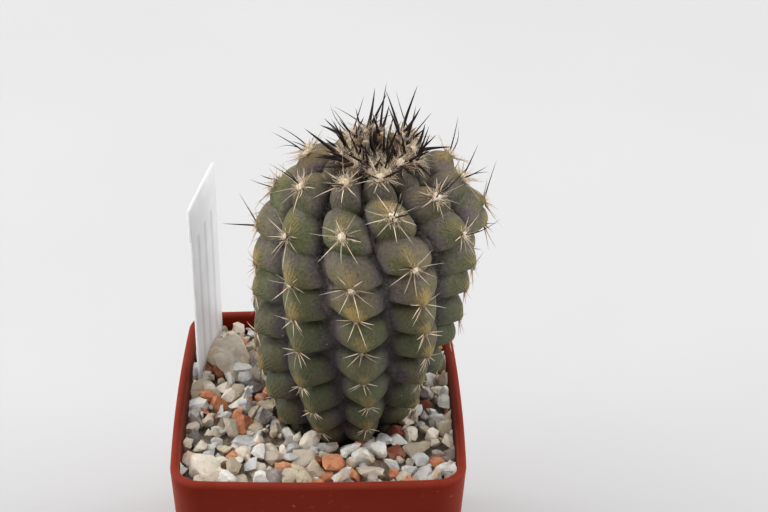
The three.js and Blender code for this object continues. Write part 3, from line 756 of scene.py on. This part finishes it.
def relief_of(bearing, arc):
    """Relief at grids of bearing and arc, and the number of the tubercle that owns each point."""
    relief = np.zeros(bearing.shape)
    claim = np.full(bearing.shape, OWNED_REACH)
    owner = np.zeros(bearing.shape, int)
    row_arc = arc[:, 0]
    for index, (tip_bearing, tip_arc, size, _) in enumerate(TUBERCLES):
        rows = (row_arc > tip_arc - 0.8 * PITCH) & (row_arc < tip_arc + 1.1 * PITCH)
        rise = (arc[rows] - tip_arc) / PITCH
        across = turn_from_tip(bearing[rows], arc[rows], tip_bearing, tip_arc) / RIB_STEP
        form, far = tubercle_form(across, rise, smooth(tip_arc, 38, 53))
        nearer = far < claim[rows]
        claim[rows] = np.where(nearer, far, claim[rows])
        owner[rows] = np.where(nearer, index, owner[rows])
        relief[rows] = np.maximum(relief[rows], size * form)
    return relief, owner


def make_skin(material):
    """The stem as one closed skin: the core moved out along its nodding direction by the relief.

    Two random fields swell the relief, and a groove with a bell-shaped section follows each furrow.
    """
    root_rows = np.linspace(ROOT_TIP_ARC + 0.7 * ROOT_RADIUS, -5, 9)[:-1]
    rows = np.concatenate([root_rows, np.linspace(-5, APEX_ARC - 0.3, SKIN_ROWS)])
    turn = RIB_START + 360 * np.arange(SKIN_COLUMNS) / SKIN_COLUMNS
    arc = np.repeat(rows[:, None], SKIN_COLUMNS, 1)
    bearing = turn[None, :] + rib_twist(arc)
    relief, owner = relief_of(bearing, arc)
    r, z, out_r, out_z = core_frame(arc)
    rough = place_on_axis(r, np.radians(bearing), z)
    shift = 0.035 * wobble(rough, 7, 12)
    furrow = np.abs(wrap((turn[None, :] - RIB_START) * RIB_COUNT + 360 * shift)) / 180
    groove = np.exp(-(((1 - furrow) / 0.07) ** 2)) * (0.25 + 0.35 * smooth(arc, 30, 50))
    swell = 0.14 * wobble(rough, 8, 3) + 0.05 * wobble(rough, 2.4, 4) - groove
    height = tubercle_height(arc) * relief + swell * smooth(arc, -6, 0) * (1 - smooth(arc, 59, 62))
    points = place_on_axis(r + height * out_r, np.radians(bearing), z + height * out_z)
    ends = place_on_axis(np.zeros(2), np.zeros(2), CORE_Z[[0, -1]])
    grid = np.concatenate([points.reshape(-1, 3), ends])
    quads = grid_faces(len(rows), SKIN_COLUMNS)
    bottom = cap_faces(0, SKIN_COLUMNS, len(grid) - 2, upward=False)
    top = cap_faces((len(rows) - 1) * SKIN_COLUMNS, SKIN_COLUMNS, len(grid) - 1, upward=True)
    tips = TUBERCLES[owner.reshape(-1)[quads[:, 0]]]
    tip_bearing, tip_arc = tips[:, :1], tips[:, 1:2]
    corner_arc = arc.reshape(-1)[quads]
    corner_turn = turn_from_tip(bearing.reshape(-1)[quads], corner_arc, tip_bearing, tip_arc)
    corner_radius = np.interp(corner_arc, CORE_ARC, CORE_R) + 3
    corner_uv = np.stack([np.radians(corner_turn) * corner_radius, corner_arc - tip_arc], -1)
    cap_uv = np.full((3 * (len(bottom) + len(top)), 2), POLE_DISTANCE)
    uv = np.concatenate([corner_uv.reshape(-1, 2), cap_uv])
    tones = np.random.default_rng(SKIN_TONE_SEED).uniform(0, 1, len(TUBERCLES))
    attributes = {
        "relief": np.append(relief.reshape(-1), [0, 0]),
        "furrow": np.append(furrow.reshape(-1), [0, 0]),
        "tone": np.append(tones[owner.reshape(-1)], [0.5, 0.5]),
    }
    piece = make_piece("stem_skin", grid, [quads, bottom, top], material, attributes, uv)
    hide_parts("stem")


# Spines and wool

def hair_piece(name, parts, material, sides=5, rings=6):
    """One piece from many needles, given as rows of root, direction, bend, length and radius.

    A needle's centre line is root + length * (t * direction + t^2 * bend), and its radius falls
    as (1 - t)^NEEDLE_TAPER. Its last point is its tip, and its root is closed by a fan.
    """
    roots, directions, bends, lengths, radii = [np.array(column) for column in zip(*parts)]
    directions = unit(directions)
    count, per = len(parts), rings * sides + 2
    t = np.linspace(0, 1, rings + 1)[:-1]
    line = t[:, None] * directions[:, None] + (t**2)[:, None] * bends[:, None]
    centres = roots[:, None] + lengths[:, None, None] * line
    leaning = np.abs(directions[:, 2:]) < 0.9
    aside = unit(np.cross(directions, np.where(leaning, [[0, 0, 1.0]], [[1.0, 0, 0]])))
    other = unit(np.cross(directions, aside))
    angle = 2 * np.pi * np.arange(sides)[:, None] / sides
    spoke = np.cos(angle) * aside[:, None] + np.sin(angle) * other[:, None]
    thick = radii[:, None] * (1 - t) ** NEEDLE_TAPER
    walls = centres[:, :, None] + thick[:, :, None, None] * spoke[:, None]
    tips = roots + lengths[:, None] * (directions + bends)
    points = np.concatenate([walls.reshape(count, -1, 3), roots[:, None], tips[:, None]], 1)
    blocks = [
        grid_faces(rings, sides),
        cap_faces(0, sides, rings * sides, upward=False),
        cap_faces((rings - 1) * sides, sides, rings * sides + 1, upward=True),
    ]
    faces = [copies(block, count, per) for block in blocks]
    along = np.tile(np.concatenate([np.repeat(t, sides), [0, 1]]), count)
    tone = np.repeat(np.random.default_rng(count).uniform(0, 1, count), per)
    make_piece(name, points.reshape(-1, 3), faces, material, {"along": along, "tone": tone})


def areole_frames():
    """Foot, outward, upward and sideways directions of the areole at each tubercle's tip."""
    bearing, arc, size = AREOLES.T
    r, z, out_r, out_z = core_frame(arc)
    height = tubercle_height(arc) * size * tubercle_form(0, 0, smooth(arc, 38, 53))[0]
    turn = np.radians(bearing)
    foot = place_on_axis(r + height * out_r, turn, z + height * out_z)

    def in_space(flat_r, flat_z):
        return np.stack([flat_r * np.sin(turn), -flat_r * np.cos(turn), flat_z], -1)

    side = np.stack([np.cos(turn), np.sin(turn), 0 * turn], -1)
    return foot, in_space(out_r, out_z), in_space(-out_z, out_r), side


def short_of_limits(root, run, length):
    """The length, or less where a tip would pass RIGHT_LIMIT or, front and back, DEPTH_LIMIT."""
    over_right = (RIGHT_LIMIT - root[0]) / max(run[0], 0.01)
    over_edge = (DEPTH_LIMIT - abs(root[1])) / max(run[1] * np.sign(root[1]), 0.01)
    return min(length, over_right, over_edge)


def radial_fan(rng, foot, out, up, side, arc):
    """An areole's pale radials, fanned down and sideways, less those that would meet the stones."""
    young = float(smooth(arc, 24, 50))
    low, higher, top = RADIAL_LENGTHS
    grown = low + higher * float(smooth(arc, 16, 30)) + top * young
    count = int(round(aged(young, RADIAL_COUNT) + rng.uniform(-1, 1)))
    widest = aged(young, RADIAL_FAN)
    spines = []
    for turn in np.linspace(-widest, widest, count) + rng.uniform(-11, 11, count):
        angle, lift = math.radians(turn), math.radians(rng.uniform(12, 32))
        flat = -up * math.cos(angle) + side * math.sin(angle)
        direction = flat * math.cos(lift) + out * math.sin(lift)
        length = grown * rng.uniform(0.75, 1.25) * (1 - 0.2 * abs(turn) / 150)
        if foot[2] + length * direction[2] < GRAVEL_LEVEL + 1.5:
            continue
        root = foot + 0.35 * (1 + young) * flat - 0.3 * out
        bend = rng.normal(0, 0.07, 3) - 0.06 * out
        length = short_of_limits(root, direction + bend, RADIAL_SCALE * length)
        radius = rng.uniform(RADIAL_THINNEST, RADIAL_THICKEST)
        spines.append((root, direction, bend, length, radius))
    return spines


def upper_spines(rng, foot, out, bearing, arc):
    """The one to three dark spines of an upper areole, more upright the higher it is."""
    spines = []
    for _ in range(1 + int(rng.uniform() < 0.35) + (arc > 50)):
        tilt = math.radians(50 + 1.9 * (HIGHEST_LEVEL - arc) + rng.uniform(-30, 24))
        direction = heading_out(tilt, math.radians(bearing + rng.uniform(-85, 85)))
        bend = rng.normal(0, 0.22, 3) + np.array([0, 0, 0.06])
        length = short_of_limits(foot, direction + bend, rng.uniform(5.0, 8.5))
        spines.append((foot - 0.4 * out, direction, bend, length, rng.uniform(0.13, 0.20)))
    return spines


def stem_spines():
    """The pale radials of all areoles, and the dark spines of the upper ones."""
    rng = np.random.default_rng(23)
    pale, dark = [], []
    for foot, out, up, side, (bearing, arc, _) in zip(*areole_frames(), AREOLES):
        pale += radial_fan(rng, foot, out, up, side, arc)
        if arc > DARK_SPINES_FROM:
            dark += upper_spines(rng, foot, out, bearing, arc)
    return pale, dark


def tuft(rng, foot, out, count, spread, length):
    """Short crooked fibres that stand out of a round spot of wool."""
    fibres = []
    for _ in range(count):
        offset = rng.normal(0, spread, 3)
        offset -= out * (offset @ out)
        direction = out + 0.55 * offset / spread + rng.normal(0, 0.45, 3)
        fibres.append((foot + offset - 0.15 * out, unit(direction), rng.normal(0, 0.35, 3),
                       length * rng.uniform(0.6, 1.3), FIBRE_RADIUS))
    return fibres


def pad_piece(name, spots, material):
    """Lumpy cushions as one piece, given as rows of foot, outward direction and size.

    Each is a ball whose radius is uneven by a random field, pressed flat along its direction.
    """
    directions, triangles = ball(3)
    feet, outs, sizes = [np.array(column) for column in zip(*spots)]
    lumps = 1 + PAD_LUMPS * wobble(directions[None] + feet[:, None], 0.7, 15)
    reach = directions[None] * lumps[..., None] * sizes[:, None, None]
    along = np.einsum("nvi,ni->nv", reach, outs)
    points = feet[:, None] + reach - PAD_FLATNESS * along[..., None] * outs[:, None]
    faces = copies(triangles, len(feet), len(directions))
    return make_piece(name, points.reshape(-1, 3), [faces], material)


def areole_wool():
    """Felt pads as (foot, outward, size), and fibres, for the old and for the young areoles."""
    rng = np.random.default_rng(41)
    old, fresh = ([], []), ([], [])
    for foot, out, _, _, (_, arc, _) in zip(*areole_frames(), AREOLES):
        young = float(smooth(arc, 33, 56))
        size, count = aged(young, WOOL_SIZE), int(aged(young, WOOL_FIBRES))
        spread, length = aged(young, WOOL_SPREAD) * size, aged(young, WOOL_LENGTH)
        pads, fibres = fresh if arc > WOOL_FADES_AT else old
        pads.append((foot, out, size))
        fibres += tuft(rng, foot + 0.2 * size * out, out, count, spread, length)
    return old, fresh


def crown_skin(r):
    """Height of the stem's top at a radius from the axis, with its tubercles at full height."""
    arc = np.interp(r, CORE_R[::-1][:CROWN_STEPS], CORE_ARC[::-1][:CROWN_STEPS])
    return np.interp(arc, CORE_ARC, CORE_Z) + tubercle_height(arc)


def crown_growth():
    """The buds, on a golden-angle spiral: knobs, wool, pale needles and dark spines."""
    rng = np.random.default_rng(37)
    knobs, pads, fibres, pale, dark = [], [], [], [], []
    for i in range(BUD_COUNT):
        outward = math.sqrt((i + 0.4) / BUD_COUNT)
        bearing = math.radians(i * GOLDEN_ANGLE)
        r = BUD_REACH * outward
        z = float(crown_skin(min(r, 6.2))) + 0.4 + 0.8 * (1 - outward)
        foot = place_on_axis(np.array(r), np.array(bearing), np.array(z))
        out = heading_out(math.radians(4 + 56 * outward), bearing)
        if outward > 0.72:
            knobs.append((foot - 1.3 * out, out, rng.uniform(1.5, 1.9)))
        pads.append((foot, out, rng.uniform(0.75, 1.1)))
        fibres += tuft(rng, foot + 0.35 * out, out, BUD_FIBRES, 0.8, 1.35)
        for _ in range(4):
            direction, bend = out + rng.normal(0, 0.7, 3), rng.normal(0, 0.1, 3)
            pale.append((foot, direction, bend, rng.uniform(2.2, 4.4), rng.uniform(0.09, 0.13)))
        for _ in range(2 + int(rng.uniform() < 0.75)):
            direction = unit(out + rng.normal(0, 0.52, 3))
            direction[2] = max(direction[2], 0.12)
            bend = rng.normal(0, 0.15, 3) + np.array([0, 0, 0.10 * outward])
            length = rng.uniform(4.4, 7.1) + 1.4 * outward
            dark.append((foot - 0.3 * out, direction, bend, length, rng.uniform(0.33, 0.48)))
    return knobs, pads, fibres, pale, dark


# Pot

def pot_ring(inset, z, scale=1):
    """The pot's outline at a height, drawn in by an inset: rows of x, y and z, anticlockwise.

    Each side bows out as a parabola, more so towards the rim, and ends in a round corner.
    """
    half_width = RIM_WIDTH / 2 - WALL_LEAN * (POT_HEIGHT - z) - inset
    corner, bow = POT_CORNER - inset, SIDE_BOW * z / POT_HEIGHT
    reach = half_width - corner
    along = 2 * np.arange(SIDE_STEPS) / SIDE_STEPS - 1
    turn = np.arange(CORNER_STEPS) / CORNER_STEPS * np.pi / 2 - np.pi / 2
    side = np.stack([along * reach, -half_width - bow * (1 - along**2)], -1)
    round_corner = np.stack([reach + corner * np.cos(turn), -reach + corner * np.sin(turn)], -1)
    quarter = np.concatenate([side, round_corner])
    quarters = []
    for angle in np.arange(4) * math.pi / 2:
        c, s = math.cos(angle), math.sin(angle)
        quarters.append(scale * (quarter @ np.array([[c, s], [-s, c]])))
    flat = np.concatenate(quarters)
    return np.column_stack([flat, np.full(len(flat), z)])


def cut_drain(pot, x, y):
    """Cuts a round hole down through the pot's floor."""
    bm = bmesh.new()
    bmesh.ops.create_cone(bm, cap_ends=True, segments=40, radius1=DRAIN_RADIUS * MM,
                          radius2=DRAIN_RADIUS * MM, depth=4 * POT_FLOOR * MM)
    bmesh.ops.translate(bm, verts=bm.verts, vec=(x * MM, y * MM, POT_FLOOR * MM))
    mesh = bpy.data.meshes.new("drill")
    bm.to_mesh(mesh)
    bm.free()
    drill = bpy.data.objects.new("drill", mesh)
    bpy.context.scene.collection.objects.link(drill)
    cut = pot.modifiers.new("drain", "BOOLEAN")
    cut.operation = "DIFFERENCE"
    cut.object = drill
    with bpy.context.temp_override(object=pot, active_object=pot, selected_objects=[pot]):
        bpy.ops.object.modifier_apply(modifier=cut.name)
    bpy.data.objects.remove(drill)


def make_pot(material):
    """The pot's wall, rim and floor as one skin through its outline rings, with four drain holes.

    The rings run from under the foot, round its edge by a quarter turn, up the wall, over the rim
    by a half turn and down inside to the floor.
    """
    rings = [(FOOT_ROUND, 0, 0.5), (FOOT_ROUND, 0, 1)]
    for turn in np.linspace(0, np.pi / 2, 6)[1:]:
        rings.append((FOOT_ROUND * (1 - math.sin(turn)), FOOT_ROUND * (1 - math.cos(turn)), 1))
    rings += [(0, z, 1) for z in np.linspace(FOOT_ROUND + 4, POT_HEIGHT - 4, 8)]
    rim = POT_WALL / 2
    for turn in np.linspace(0, np.pi, 11):
        rings.append((rim * (1 - math.cos(turn)), POT_HEIGHT - rim * (1 - math.sin(turn)), 1))
    rings += [(POT_WALL, z, 1) for z in (POT_HEIGHT - 5, POT_HEIGHT / 2, POT_FLOOR)]
    rings.append((POT_WALL, POT_FLOOR, 0.5))
    rows = [pot_ring(*ring) for ring in rings]
    columns = len(rows[0])
    points = np.concatenate(rows + [[[0, 0, 0], [0, 0, POT_FLOOR]]])
    faces = [
        grid_faces(len(rings), columns),
        cap_faces(0, columns, len(points) - 2, upward=False),
        cap_faces((len(rings) - 1) * columns, columns, len(points) - 1, upward=True),
    ]
    pot = make_piece("pot_body", points, faces, material)
    for x in (-DRAIN_OFFSET, DRAIN_OFFSET):
        for y in (-DRAIN_OFFSET, DRAIN_OFFSET):
            cut_drain(pot, x, y)
    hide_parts("pot")


# Gravel

def lay_stones():
    """Places and sizes of the stones, by the part's own draw: x, y, width, depth."""
    draw = Draw(5)
    laid = [stone[:4] for stone in LARGE_STONES]
    reach = RIM_WIDTH / 2 - POT_WALL - 0.8
    for _ in range(STONE_TRIES):
        x = reach * (2 * draw() - 1)
        y = reach * (2 * draw() - 1)
        size = STONE_MIN + (STONE_MAX - STONE_MIN) * draw() ** STONE_SKEW
        if math.hypot(x - STEM_X, y) < STONE_FREE_RADIUS:
            continue
        crowded = any(
            math.hypot(x - ox, y - oy) < STONE_PACKING * 0.5 * (size + 0.5 * (ow + od))
            for ox, oy, ow, od in laid
        )
        if not crowded:
            laid.append((x, y, size, size * (0.75 + 0.3 * draw())))
    return laid


def turns_about_random_axes(rng, count):
    """Random rotation matrices, from random unit quaternions."""
    w, x, y, z = unit(rng.normal(size=(count, 4))).T
    return np.stack([
        1 - 2 * (y * y + z * z), 2 * (x * y - z * w), 2 * (x * z + y * w),
        2 * (x * y + z * w), 1 - 2 * (x * x + z * z), 2 * (y * z - x * w),
        2 * (x * z - y * w), 2 * (y * z + x * w), 1 - 2 * (x * x + y * y),
    ], -1).reshape(-1, 3, 3)


def broken_stones(rng, centres, sizes, subdivisions):
    """Angular lumps: each is a ball cut by random planes, with its edges worn by a soft minimum.

    The radius in a direction is the soft minimum over the planes of offset / cos(angle to it).
    """
    directions, triangles = ball(subdivisions)
    count = len(centres)
    normals = unit(rng.normal(size=(count, STONE_PLANES, 3)))
    offsets = rng.uniform(0.55, 1.0, (count, STONE_PLANES))
    facing = np.maximum(np.einsum("vj,npj->nvp", directions, normals), 0.12)
    reach = offsets[:, None, :] / facing
    radius = (reach**-STONE_CRISPNESS).sum(-1) ** (-1 / STONE_CRISPNESS)
    shape = directions[None] * radius[..., None]
    shape = shape / np.abs(shape).max(axis=1, keepdims=True)
    turned = np.einsum("nij,nvj->nvi", turns_about_random_axes(rng, count), shape)
    turned = turned / np.abs(turned).max(axis=1, keepdims=True)
    points = centres[:, None] + 0.5 * sizes[:, None] * turned
    return points.reshape(-1, 3), copies(triangles, count, len(directions)), len(directions)


def stay_in_pot(points):
    """Presses points that reach past the pot's inner face back to just short of it."""
    x, y, z = points.T
    half = RIM_WIDTH / 2 - WALL_LEAN * (POT_HEIGHT - z) - POT_WALL - 0.12
    corner = POT_CORNER - POT_WALL
    qx, qy = np.abs(x) - (half - corner), np.abs(y) - (half - corner)
    outside = np.hypot(np.maximum(qx, 0), np.maximum(qy, 0)) - corner
    pull = np.where(outside > 0, corner / np.maximum(outside + corner, 1e-6), 1)
    nx = np.where(qx > 0, np.sign(x) * (half - corner + np.maximum(qx, 0) * pull), x)
    ny = np.where(qy > 0, np.sign(y) * (half - corner + np.maximum(qy, 0) * pull), y)
    return np.stack([nx, ny, z], -1)


def fill_gaps(rng, stones):
    """Chips that fit the gaps between the laid stones, the largest first: x and y, and size."""
    spots = rng.uniform(-CHIP_REACH, CHIP_REACH, (CHIP_TRIES, 2))
    sizes = CHIP_MIN + (CHIP_MAX - CHIP_MIN) * rng.uniform(0, 1, CHIP_TRIES) ** STONE_SKEW
    clear = np.hypot(spots[:, 0] - STEM_X, spots[:, 1]) > CHIP_FREE_RADIUS + 0.3 * sizes
    apart = np.linalg.norm(spots[:, None] - stones[None, :, :2], axis=-1)
    clear &= (apart > 0.34 * sizes[:, None] + 0.30 * stones[None, :, 2]).all(1)
    spots, sizes = spots[clear], sizes[clear]
    kept = np.zeros(0, int)
    for index in np.argsort(-sizes):
        distance = np.linalg.norm(spots[kept] - spots[index], axis=1)
        if (distance > 0.33 * (sizes[kept] + sizes[index])).all():
            kept = np.append(kept, index)
    return spots[kept], sizes[kept]


def heaped(x):
    """How much higher the stones lie against the pot's right wall."""
    return RIGHT_HEAP * smooth(x, 16, 25)


def make_gravel():
    """Stones of each colour as a piece, with the chips between and under them."""
    rng = np.random.default_rng(71)
    stones, kinds = np.array(lay_stones()), len(STONE_KINDS)
    names, _, shares = list(zip(*STONE_KINDS))[:3]
    colours = np.random.default_rng(STONE_COLOUR_SEED).choice(kinds, len(stones), p=shares)
    colours[:len(LARGE_STONES)] = [names.index(stone[4]) for stone in LARGE_STONES]
    height = STONE_THICKNESS * stones[:, 2:4].min(axis=1) * rng.uniform(0.85, 1.15, len(stones))
    level = GRAVEL_LEVEL - 0.16 * height + rng.uniform(-0.5, 0.5, len(stones))
    level += heaped(stones[:, 0])
    level[:len(LARGE_STONES)] = GRAVEL_LEVEL + 0.4
    centres = np.column_stack([stones[:, :2], level])
    sizes = np.column_stack([stones[:, 2:4] * STONE_BULK, height])
    spots, chip = fill_gaps(rng, stones)
    chip_level = GRIT_TOP + 0.2 * chip + rng.uniform(-0.4, 1.0, len(chip)) + heaped(spots[:, 0])
    chip_centres = np.column_stack([spots, chip_level])
    chip_sizes = chip[:, None] * rng.uniform(0.8, 1.25, (len(chip), 3))
    chip_colours = rng.choice(kinds, len(chip), p=shares)
    for index, (name, finish, _, *looks) in enumerate(STONE_KINDS):
        big, small = colours == index, chip_colours == index
        points, faces, per = broken_stones(rng, centres[big], sizes[big], 3)
        chips, chip_faces, chip_per = broken_stones(rng, chip_centres[small], chip_sizes[small], 2)
        tone = np.concatenate([np.repeat(rng.uniform(0, 1, big.sum()), per),
                               np.repeat(rng.uniform(0, 1, small.sum()), chip_per)])
        everything = np.concatenate([points, chips])
        pits = 0.09 * wobble(everything, 2.2, 5) + 0.06 * wobble(everything, 0.8, 6)
        everything = stay_in_pot(everything + pits[:, None] * unit(wobble_direction(everything)))
        piece = make_piece("stones_" + name, everything, [faces, chip_faces + len(points)],
                           stone_finish(finish, *looks), {"tone": tone}, crisp=26)
        if index == 0:
            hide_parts("gravel")


def wobble_direction(points):
    """A smooth random direction at each point."""
    return np.stack([wobble(points, 2.0, seed, 4) for seed in (21, 22, 23)], -1)


def make_grit_bed(material):
    """The bed of fine grit under the stones: a closed block with an uneven top round the stem.

    Straight lines run from the pot's outline to the hole for the stem, lifted by random fields.
    """
    low, high = MIX_TOP + FIT_GAP, GRIT_TOP - 0.6
    outer_low, outer_high = [pot_ring(POT_WALL + FIT_GAP, z) for z in (low, high)]
    columns = len(outer_high)
    bearing = np.arctan2(outer_high[:, 0] - STEM_X, -outer_high[:, 1])
    hole = np.full(columns, GRIT_HOLE_RADIUS)
    inner_low, inner_high = [place_on_axis(hole, bearing, np.full(columns, z)) for z in (low, high)]
    steps = 40
    share = np.linspace(0, 1, steps)[:, None, None]
    top = outer_high[None] * (1 - share) + inner_high[None] * share
    lift = 0.35 * wobble(top, 2.4, 61) + 0.2 * wobble(top, 1.1, 62)
    top[1:-1, :, 2] += lift[1:-1]
    points = np.concatenate([outer_low[None], top, inner_low[None]]).reshape(-1, 3)
    here, last = np.arange(columns), (steps + 1) * columns
    after = (here + 1) % columns
    under = np.stack([last + here, last + after, after, here], -1)
    quads = grid_faces(steps + 2, columns)
    make_piece("grit_bed", points, [quads, under], material)


# Label

def make_label(material):
    """A thin plate with a square head, a small step in its near edge and a point pushed down."""
    half, tip = LABEL_WIDTH / 2, LABEL_POINT_WIDTH / 2
    flat = np.array([
        (-tip, LABEL_POINT), (tip, LABEL_POINT), (half, LABEL_NECK), (half, LABEL_TOP),
        (-half, LABEL_TOP), (-half, LABEL_STEP_HEIGHT),
        (-half + LABEL_STEP, LABEL_STEP_HEIGHT - LABEL_STEP), (-half + LABEL_STEP, LABEL_NECK),
    ])
    turn = math.radians(LABEL_TURN)
    along = np.array([math.cos(turn), math.sin(turn)])
    out = np.array([math.sin(turn), -math.cos(turn)])
    middle = np.array(LABEL_FOOT) + along * (flat[:, :1] + half)
    points = np.concatenate([
        np.column_stack([middle + out * offset, flat[:, 1]])
        for offset in (LABEL_THICKNESS / 2, -LABEL_THICKNESS / 2)
    ])
    here = np.arange(len(flat))
    after = np.roll(here, -1)
    sides = np.stack([here + len(flat), after + len(flat), after, here], -1)
    front, back = here[None], here[None, ::-1] + len(flat)
    # The back and the edges read the finish beyond the ruled width, so only the front is ruled
    plain = flat + (2 * LABEL_WIDTH, 0)
    uv = np.concatenate([flat, plain[::-1], plain[sides.ravel() % len(flat)]])
    piece = make_piece("label_tag", points, [front, back, sides], material,
                       corner_uv=uv)
    bevel = piece.modifiers.new("soft_edges", "BEVEL")
    bevel.width = 0.12 * MM
    bevel.segments = 3
    bevel.limit_method = "ANGLE"
    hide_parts("plant_label")


# Studio, in metres and watts

ROOM_COLOUR = (0.96, 0.97, 1.0)
ROOM_STRENGTH = 0.33
FLOOR_REACH = 3.0
LIGHTS_AIM = (0.004, 0, 0.07)
LIGHTS = [
    ("window", (-0.20, 0.28, 1.08), 2.4, 20.2),
    ("left_panel", (-1.1, -0.1, 0.45), 0.8, 9.0),
    ("right_panel", (1.1, -0.1, 0.50), 0.8, 9.5),
]


def make_studio():
    """A pale floor, a wide soft light over the plant and a panel at each of its sides."""
    mesh = bpy.data.meshes.new("floor")
    low, high = -FLOOR_REACH, FLOOR_REACH
    mesh.from_pydata([(low, low, 0), (high, low, 0), (high, high, 0), (low, high, 0)],
                     [], [(0, 1, 2, 3)])
    mesh.materials.append(floor_finish())
    floor = bpy.data.objects.new("floor", mesh)
    bpy.context.scene.collection.objects.link(floor)
    world = bpy.data.worlds.new("room")
    world.use_nodes = True
    background = world.node_tree.nodes["Background"]
    background.inputs["Color"].default_value = (*ROOM_COLOUR, 1)
    background.inputs["Strength"].default_value = ROOM_STRENGTH
    bpy.context.scene.world = world
    bpy.context.scene.view_settings.view_transform = "Standard"
    for name, place, size, power in LIGHTS:
        data = bpy.data.lights.new(name, "AREA")
        data.shape = "SQUARE"
        data.size = size
        data.energy = power
        lamp = bpy.data.objects.new(name, data)
        lamp.location = place
        towards = Vector(LIGHTS_AIM) - Vector(place)
        lamp.rotation_euler = towards.to_track_quat("-Z", "Y").to_euler()
        bpy.context.scene.collection.objects.link(lamp)


def make_camera():
    """The photograph's own view: a camera in front, 38 degrees above the rim, turned a little."""
    focal_px, image_width, sensor = 1428.3, 768, 36
    distance, azimuth, elevation = 284.3, 0.467, 38.256
    pan, tilt, roll = -3.113, 5.393, -1.421
    e, a = math.radians(elevation), math.radians(azimuth)
    back = Vector((math.sin(a) * math.cos(e), -math.cos(a) * math.cos(e), math.sin(e)))
    ahead = -back
    right = ahead.cross(Vector((0, 0, 1))).normalized()
    about_z = Matrix.Rotation(math.radians(pan), 3, "Z")
    ahead, right = about_z @ ahead, about_z @ right
    ahead = Matrix.Rotation(math.radians(tilt), 3, right) @ ahead
    up = right.cross(ahead)
    about_view = Matrix.Rotation(math.radians(roll), 3, ahead)
    right, up = about_view @ right, about_view @ up
    data = bpy.data.cameras.new("camera")
    data.sensor_width = sensor
    data.lens = focal_px * sensor / image_width
    data.clip_start = 0.01
    camera = bpy.data.objects.new("camera", data)
    place = (back * distance + Vector((0, 0, POT_HEIGHT))) * MM
    turn = Matrix((right, up, -ahead)).transposed().to_4x4()
    camera.matrix_world = Matrix.Translation(place) @ turn
    bpy.context.scene.collection.objects.link(camera)
    bpy.context.scene.camera = camera


# The whole plant

make_camera()
make_studio()

straw = spine_finish("spine_straw", (0.38, 0.21, 0.12), (0.74, 0.59, 0.42), (0.80, 0.69, 0.54), 0.45)
black = spine_finish("spine_dark", (0.10, 0.030, 0.018), (0.006, 0.0045, 0.0045),
                     (0.004, 0.003, 0.003), 0.5)
wool = wool_finish("areole_wool", (1.0, 0.92, 0.76), (0.91, 0.69, 0.43))
grey_wool = wool_finish("weathered_wool", (0.50, 0.42, 0.33), (0.26, 0.19, 0.13))
# The grit's colours are darker than the grit itself, as painted shade in the gaps between the stones
fine_grit_and_gap_shade = stone_finish("fine_grit_and_gap_shade", 0.8, (0.34, 0.28, 0.21), (0.075, 0.062, 0.052),
                         (0.26, 0.13, 0.08), grain=1500)

make_skin(skin_finish())
pale, dark = stem_spines()
hair_piece("radial_spines", pale, straw)
hair_piece("dark_spines", dark, black)
for age, (pads, fibres), felt in zip(("old", "young"), areole_wool(), (grey_wool, wool)):
    hair_piece(age + "_tufts", fibres, felt, sides=3, rings=2)
    pad_piece(age + "_pads", pads, felt)
knobs, pads, fibres, pale, dark = crown_growth()
crown_piece = pad_piece("crown_pads", pads, wool)
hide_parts("crown")
pad_piece("crown_knobs", knobs, knob_finish())
hair_piece("crown_wool", fibres, wool, sides=3, rings=2)
hair_piece("crown_radials", pale, straw)
hair_piece("crown_dark_spines", dark, black, sides=7, rings=8)

make_pot(pot_finish())
make_gravel()
make_grit_bed(fine_grit_and_gap_shade)
make_label(label_finish())
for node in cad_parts.values():
    if node.name == "potting_mix":
        node.data.materials.clear()
        node.data.materials.append(mix_finish())
